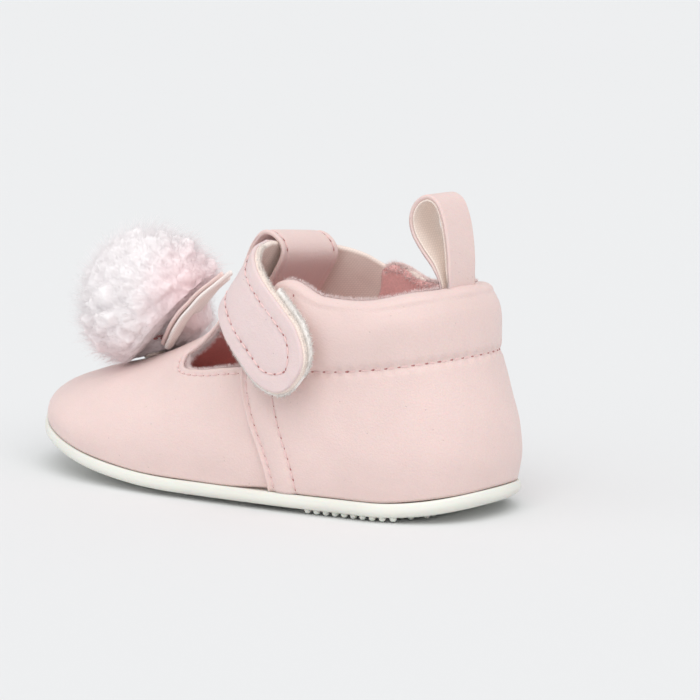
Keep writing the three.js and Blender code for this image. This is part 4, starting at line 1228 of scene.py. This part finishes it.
def tuft_layer(name, count, core, length, gather, bend, width, seed):
    """Short soft strands that lean with the clump they stand on."""
    random = np.random.default_rng(seed)
    way = ball_directions(count, random)
    heap, centre = clump_shape(way)
    comb = np.cross(way, unit(random.normal(size=3) + np.array([0.2, 0.3, 1.0])))
    root = press(POMPOM_CENTRE + way * (core + 1.3 * heap)[:, None], 0.35, 0.8)
    lean = unit(way + (centre - way) * gather + comb * 0.55 + random.normal(size=way.shape) * 0.28)
    tip = press(root + lean * (length * random.uniform(0.6, 1.25, count))[:, None], 0.15)
    stretch = np.linalg.norm(tip - root, axis=1)
    kept = stretch > 0.22 * length
    layer = plant(name, root[kept], unit(tip - root)[kept], unit(comb)[kept], FUR_MATERIAL,
                  "strand", length=length, width=width, bend=bend, variation=0.06, seed=seed,
                  size=stretch[kept] / length, around=3, rings=3)
    return dress(layer, None, "pompom")


def fur_material(name, rgb):
    """Soft matt fur, with painted pink shade low down and beside the ears."""
    material, tree, shader, place = begin(name, 0.85, Sheen_Weight=0.2, Sheen_Roughness=0.4,
                                          Specular_IOR_Level=0.2)
    broad = ramp(tree, noise(tree, place, 5, 2), 0.35, 0.65)
    fine = ramp(tree, noise(tree, place, 0.8, 2), 0.3, 0.7)
    apart = node(tree, "ShaderNodeSeparateXYZ", i0=place).outputs
    # Painted pink shade: the fur turns pinker and darker low down near the vamp and beside the ears.
    low = ramp(tree, apart["Z"], 0.022, 0.036, 1, 0)
    near_ears = ramp(tree, apart["X"], 0.0175, 0.0290, 1, 0)
    body = mix(tree, broad, shade(rgb, 0.985), shade(rgb))
    bump(tree, shader, noise(tree, place, 0.9, 4, 0.7), 0.16, 0.6)
    painted_pink_shade = math_node(tree, "MAXIMUM", math_node(tree, "MULTIPLY", low, 0.35),
                      math_node(tree, "MULTIPLY", near_ears, 0.7))
    pinkish = mix(tree, painted_pink_shade, body, shade((255, 218, 222)))
    colour = mix(tree, math_node(tree, "MULTIPLY", fine, 0.12), pinkish, shade(rgb, 0.92))
    tree.links.new(colour, shader.inputs["Base Color"])
    return material


FUR_MATERIAL = fur_material("pompom_fur", (255, 251, 252))
core = bpy.data.meshes.new("pompom_core")
made = bmesh.new()
bmesh.ops.create_icosphere(made, subdivisions=7, radius=1.0)
ball_way = unit(np.array([v.co for v in made.verts]))
heap, _ = clump_shape(ball_way)
ball_radius = 14.7 + 1.7 * heap + 0.45 * undulation(ball_way * 14, 3.2, 50) + 0.10 * undulation(
    ball_way * 14, 1.1, 51)
spots = press(POMPOM_CENTRE + ball_way * ball_radius[:, None], 0.3, 1.5)
for vert, spot in zip(made.verts, spots):
    vert.co = Vector((spot * MM).tolist())
made.to_mesh(core)
made.free()
core.polygons.foreach_set("use_smooth", np.ones(len(core.polygons), bool))
core = bpy.data.objects.new("pompom_core", core)
bpy.context.scene.collection.objects.link(core)
dress(core, FUR_MATERIAL, "pompom", ["pompom"])
tuft_layer("pompom_fur_short", 6500, 14.6, 2.4, 0.7, 1.0, 0.075, 32)
tuft_layer("pompom_fur_long", 8500, 14.7, 3.8, 0.9, 1.6, 0.05, 33)

# %% Anchor under the pompom
made = bmesh.new()
bmesh.ops.create_cone(made, cap_ends=True, segments=40, radius1=2.6, radius2=2.1, depth=0.9)
bmesh.ops.bevel(made, geom=[e for e in made.edges if abs(e.verts[0].co.z - e.verts[1].co.z) < 0.01],
                offset=0.2, segments=3, affect="EDGES")
foot, ahead = (np.array([x, 0, float(crest_height(x))]) for x in (34.0, 37.0))
slope = unit(ahead - foot)
up = np.array([-slope[2], 0, slope[0]])
turn = Vector((0, 0, 1)).rotation_difference(Vector(up.tolist())).to_matrix().to_4x4()
made.transform(Matrix.Scale(MM, 4) @ Matrix.Translation(Vector((foot + up * 0.35).tolist())) @ turn)
anchor = bpy.data.objects.new("pompom_anchor_disc", bpy.data.meshes.new("pompom_anchor_disc"))
made.to_mesh(anchor.data)
made.free()
bpy.context.scene.collection.objects.link(anchor)
dress(anchor, CREAM, "shoe", ["pompom_anchor"])

# %% [markdown]
# Two leaves of the same leather, lined with cream, stand behind the ball like a rabbit's ears.
# Each leaf is two thin closed sheets with a small gap, because that dark gap between leather and
# lining shows from the side. A single sheet with Solidify would be quicker, but has no gap.

# %% Ears
EAR_LENGTH = 25
EAR_WIDTH = 9


def ear_sheet(name, side, depth, thickness, trim, short, material, nodes=()):
    """One layer of an ear. Both ears turn a little to the near side and the far one stands up."""
    a = np.sin(np.radians(np.linspace(0, 90, 70)))
    a = a * 0.5 + np.linspace(0, 1, 70) * 0.5
    A, share = np.meshgrid(a, np.sin(np.radians(np.linspace(-90, 90, 33))), indexing="ij")
    blade = np.maximum(np.sin(math.pi * (0.1 + 0.875 * A)), 0.0) ** 0.8
    width = (EAR_WIDTH * 0.43 - trim) * np.maximum(blade, 0.03)
    pitch, roll = math.radians(0.0 if side > 0 else 3.0), EAR_ROLL
    slope = EAR_SLOPE * math.cos(pitch) + EAR_OUT * math.sin(pitch)
    level = EAR_OUT * math.cos(pitch) - EAR_SLOPE * math.sin(pitch)
    face_way = level * math.cos(roll) + np.array([0, 1.0, 0]) * math.sin(roll)
    across = np.array([0, 1.0, 0]) * math.cos(roll) - level * math.sin(roll)
    spread = EAR_WIDTH * 0.32 + 2.2 * np.sin(math.pi * A * 0.8) if side > 0 else -2.2 - 0.6 * A
    cup = 0.5 * share**2 + 0.7 * np.sin(math.pi * A) + (0.6 if side > 0 else 2.4)
    gap = np.minimum((1 - np.abs(share)) * width, (1 - A) * EAR_LENGTH + 0.02)
    drop = round_edge(gap, thickness / 2)
    base = (EAR_BASE + np.array([1.3, 1.0, 0.2])
            + slope * (A * (EAR_LENGTH - short + (1.2 if side > 0 else -4.5)))[..., None]
            + np.array([0, 1.0, 0]) * (spread + 0 * A)[..., None]
            + across * (share * width)[..., None])
    wave = 0.12 * undulation(base, 6, 40 + side)
    face = base + face_way * (cup - 1.9 - depth - drop + wave)[..., None]
    back = base + face_way * (cup - 1.9 - depth - thickness + drop + wave)[..., None]
    piece = thick_sheet(name, face, back)
    return dress(piece, material, "ear_near" if side > 0 else "ear_far", nodes)


for label, side in (("near", 1), ("far", -1)):
    ear_sheet(f"ear_{label}_leather", side, -0.55, 0.8, 0.1, 1.8, PINK_LEATHER,
              [f"ear_{label}"])
    ear_sheet(f"ear_{label}_cloth", side, 0.6, 0.9, -0.1, 0.0, EAR_CLOTH)

# %% Knot at the ears' root
knot_place = EAR_BASE + np.array([1.6, 3.4, 0.5]) + np.array(
    [[0, 0, 0], [0.7, 0.5, 0.5], [-0.3, 1.1, 0.7], [0.5, 1.7, 0.1], [1.2, 1.2, 0.9]])
# The knot's beads take the needle holes' dark painted-shade colour.
knot = plant("ear_knot", knot_place, EAR_OUT, np.array([0.3, 1.0, 0.2]), DARK_HOLE_SHADE, "bead",
             1.7, 0.7, 0.7, variation=0.2, seed=15, around=10, rings=6)
dress(knot, None, "shoe")

# %% [markdown]
# ## Thread and fuzz
# Last come the small things that make it cloth and leather: every stitch, the needle holes with
# their dark beads of painted shade, and the nap of the brushed lining, which stands up along the
# collar's rim and the cut-out.

# %% Stitches, and needle holes dark with painted shade
for body, rows in rows_of.items():
    if not rows:
        continue
    for kind in ("stitches", "hole_shade_beads"):
        if kind == "stitches":
            where, out, along = (np.concatenate([r[k] for r in rows])
                                 for k in ("where", "out", "along"))
            size = np.concatenate([np.full(len(r["where"]), r["pitch"] / 2.4) for r in rows])
            piece = plant(f"{kind}_{body}", where, out, along, THREAD, "bead", length=1.85,
                          width=0.40, height=0.34, variation=0.05, seed=5, size=size,
                          around=8, rings=6)
        else:
            where, out, along = (np.concatenate([r[k] for r in rows])
                                 for k in ("ends", "ends_out", "ends_along"))
            size = np.concatenate([np.full(len(r["ends"]), r["hole"]) for r in rows])
            # Each needle hole gets a dark bead whose colour is painted shade.
            piece = plant(f"{kind}_{body}", where - out * 0.08, out, along, DARK_HOLE_SHADE,
                          "bead", length=1.5, width=0.9, height=0.4, variation=0.15, seed=6,
                          size=size, around=8, rings=4)
        dress(piece, None, body)

# %% Nap along the collar and the cut-out
random = np.random.default_rng(8)


def nap(name, where, out, spread, length, width, seed, material, slot, body="shoe"):
    lean = unit(out + random.normal(size=where.shape) * spread)
    piece = plant(name, where, lean, unit(random.normal(size=where.shape)), material, "strand",
                  length=length, width=width, bend=length * 0.35, variation=0.35, seed=seed,
                  around=3, rings=2)
    return dress(piece, None, body)


count = 9000
s = random.uniform(-3.95, 3.97, count)
angle = random.uniform(98, 178, count)
where = collar_roll(s, angle, half - 0.05)
out = unit(where - collar_roll(s, 0 * angle, 0.0))
nap("nap_collar", where, out, 0.5, 0.8, 0.06, 9, NAP_PINK, "lining")
count = 5200
parts = []
for line in edge_lines:
    s_line, v_row = line
    shown = (wrapped(s_line) > 4.03) & (wrapped(s_line) < 13.97)
    s_line, v_row = s_line[shown], v_row[shown]
    pick = random.uniform(0, len(s_line) - 1.001, count)
    s = np.interp(pick, np.arange(len(s_line)), s_line)
    v = np.minimum(np.interp(pick, np.arange(len(s_line)), v_row), 1.95)
    deep = -(vamp_lining_depth(s, np.minimum(v, 1.0)) + random.uniform(-0.05, 0.6, count))
    inward = unit(surface(np.full(count, 5.6 if line is edge_lines[0] else 12.4), 1.0)
                  + np.array([-9.0, 0, 9.0]) - surface(s, v))
    parts.append((skin(s, v, deep), unit(inward + 0.3 * normal(s, v))))
where, out = (np.concatenate(p) for p in zip(*parts))
nap("nap_cut_out", where, out, 0.6, 0.95, 0.06, 10, NAP_PINK, "lining")
count = 2600
u = random.uniform(10.3, 12.98, count)
rim = random.choice([1.0, 1.0, -1.0], count) * random.uniform(0.9, 1.0, count)
where, out = strap_point(u, rim * strap_half(u, -1.3), 2.1 + random.uniform(0, 0.8, count))
side = unit(where - strap_point(u, 0 * u, np.full(count, 2.2))[0])
nap("hook_tape_loops", where, side, 0.6, 0.6, 0.09, 11, TAPE_WHITE, "tape", "strap_tab")
count = 3000
u = random.uniform(7.5, 12.98, count)
where, out = strap_point(u, (strap_half(u) + 0.3) * random.choice([1.0, 1.0, -1.0], count),
                         0.95 + random.uniform(0, 1.1, count))
side = unit(where - strap_point(u, 0 * u, np.full(count, 1.5))[0])
nap("strap_cloth_fluff", where, side, 0.7, 0.55, 0.06, 12, NAP_CREAM, "cream_backing", "strap_tab")

# %% [markdown]
# ## Light, floor and camera
# A pale studio: one broad soft light above, a bright room, and a floor that is nearly white. Suns
# with a wide angle give soft shadows and light the whole floor evenly, which an area lamp near the
# shoe does not.

# %% Floor and world
floor_mesh = bpy.data.meshes.new("floor")
floor_mesh.from_pydata([(-6, -6, 0), (6, -6, 0), (6, 6, 0), (-6, 6, 0)], [], [(0, 1, 2, 3)])
floor = bpy.data.objects.new("floor", floor_mesh)
bpy.context.scene.collection.objects.link(floor)
material, tree, shader, place = begin("studio_floor", 0.9, Specular_IOR_Level=0.1)
tree.links.new(mix(tree, noise(tree, place, 900), shade((230, 231, 232)), shade((231, 232, 233))),
               shader.inputs["Base Color"])
floor.data.materials.append(material)
world = bpy.data.worlds.new("studio")
bpy.context.scene.world = world
world.use_nodes = True
background = next(n for n in world.node_tree.nodes if n.type == "BACKGROUND")
background.inputs["Color"].default_value = (0.985, 0.993, 1.0, 1)
background.inputs["Strength"].default_value = 0.66


def sun(name, way, angle, power, colour=(1, 1, 1)):
    """A far soft light that shines along way; angle is how wide it looks, in degrees."""
    data = bpy.data.lights.new(name, "SUN")
    data.angle = math.radians(angle)
    data.energy = power
    data.color = colour
    lamp = bpy.data.objects.new(name, data)
    bpy.context.scene.collection.objects.link(lamp)
    lamp.rotation_mode = "QUATERNION"
    lamp.rotation_quaternion = Vector(way).to_track_quat("-Z", "Y")
    return lamp


sun("key_light", (0.42, -0.42, -0.9), 60, 1.45, (1, 0.99, 0.98))
sun("fill_light", (-0.4, -0.7, -0.35), 80, 0.35)

# %% Camera
camera_data = bpy.data.cameras.new("camera")
camera_data.lens = 150.7
camera_data.sensor_width = 36
camera_data.clip_start = 0.01
camera_data.clip_end = 30
camera = bpy.data.objects.new("camera", camera_data)
bpy.context.scene.collection.objects.link(camera)
right = Vector((-0.7967, -0.6043, 0)).normalized()
back = Vector((-0.5973, 0.7875, 0.1516)).normalized()
up = back.cross(right)
camera.matrix_world = Matrix.Translation((-0.39103, 0.48842, 0.12523)) @ Matrix(
    (right, up, back)).transposed().to_4x4()
bpy.context.scene.camera = camera
bpy.context.scene.view_settings.view_transform = "Standard"
bpy.context.view_layer.update()
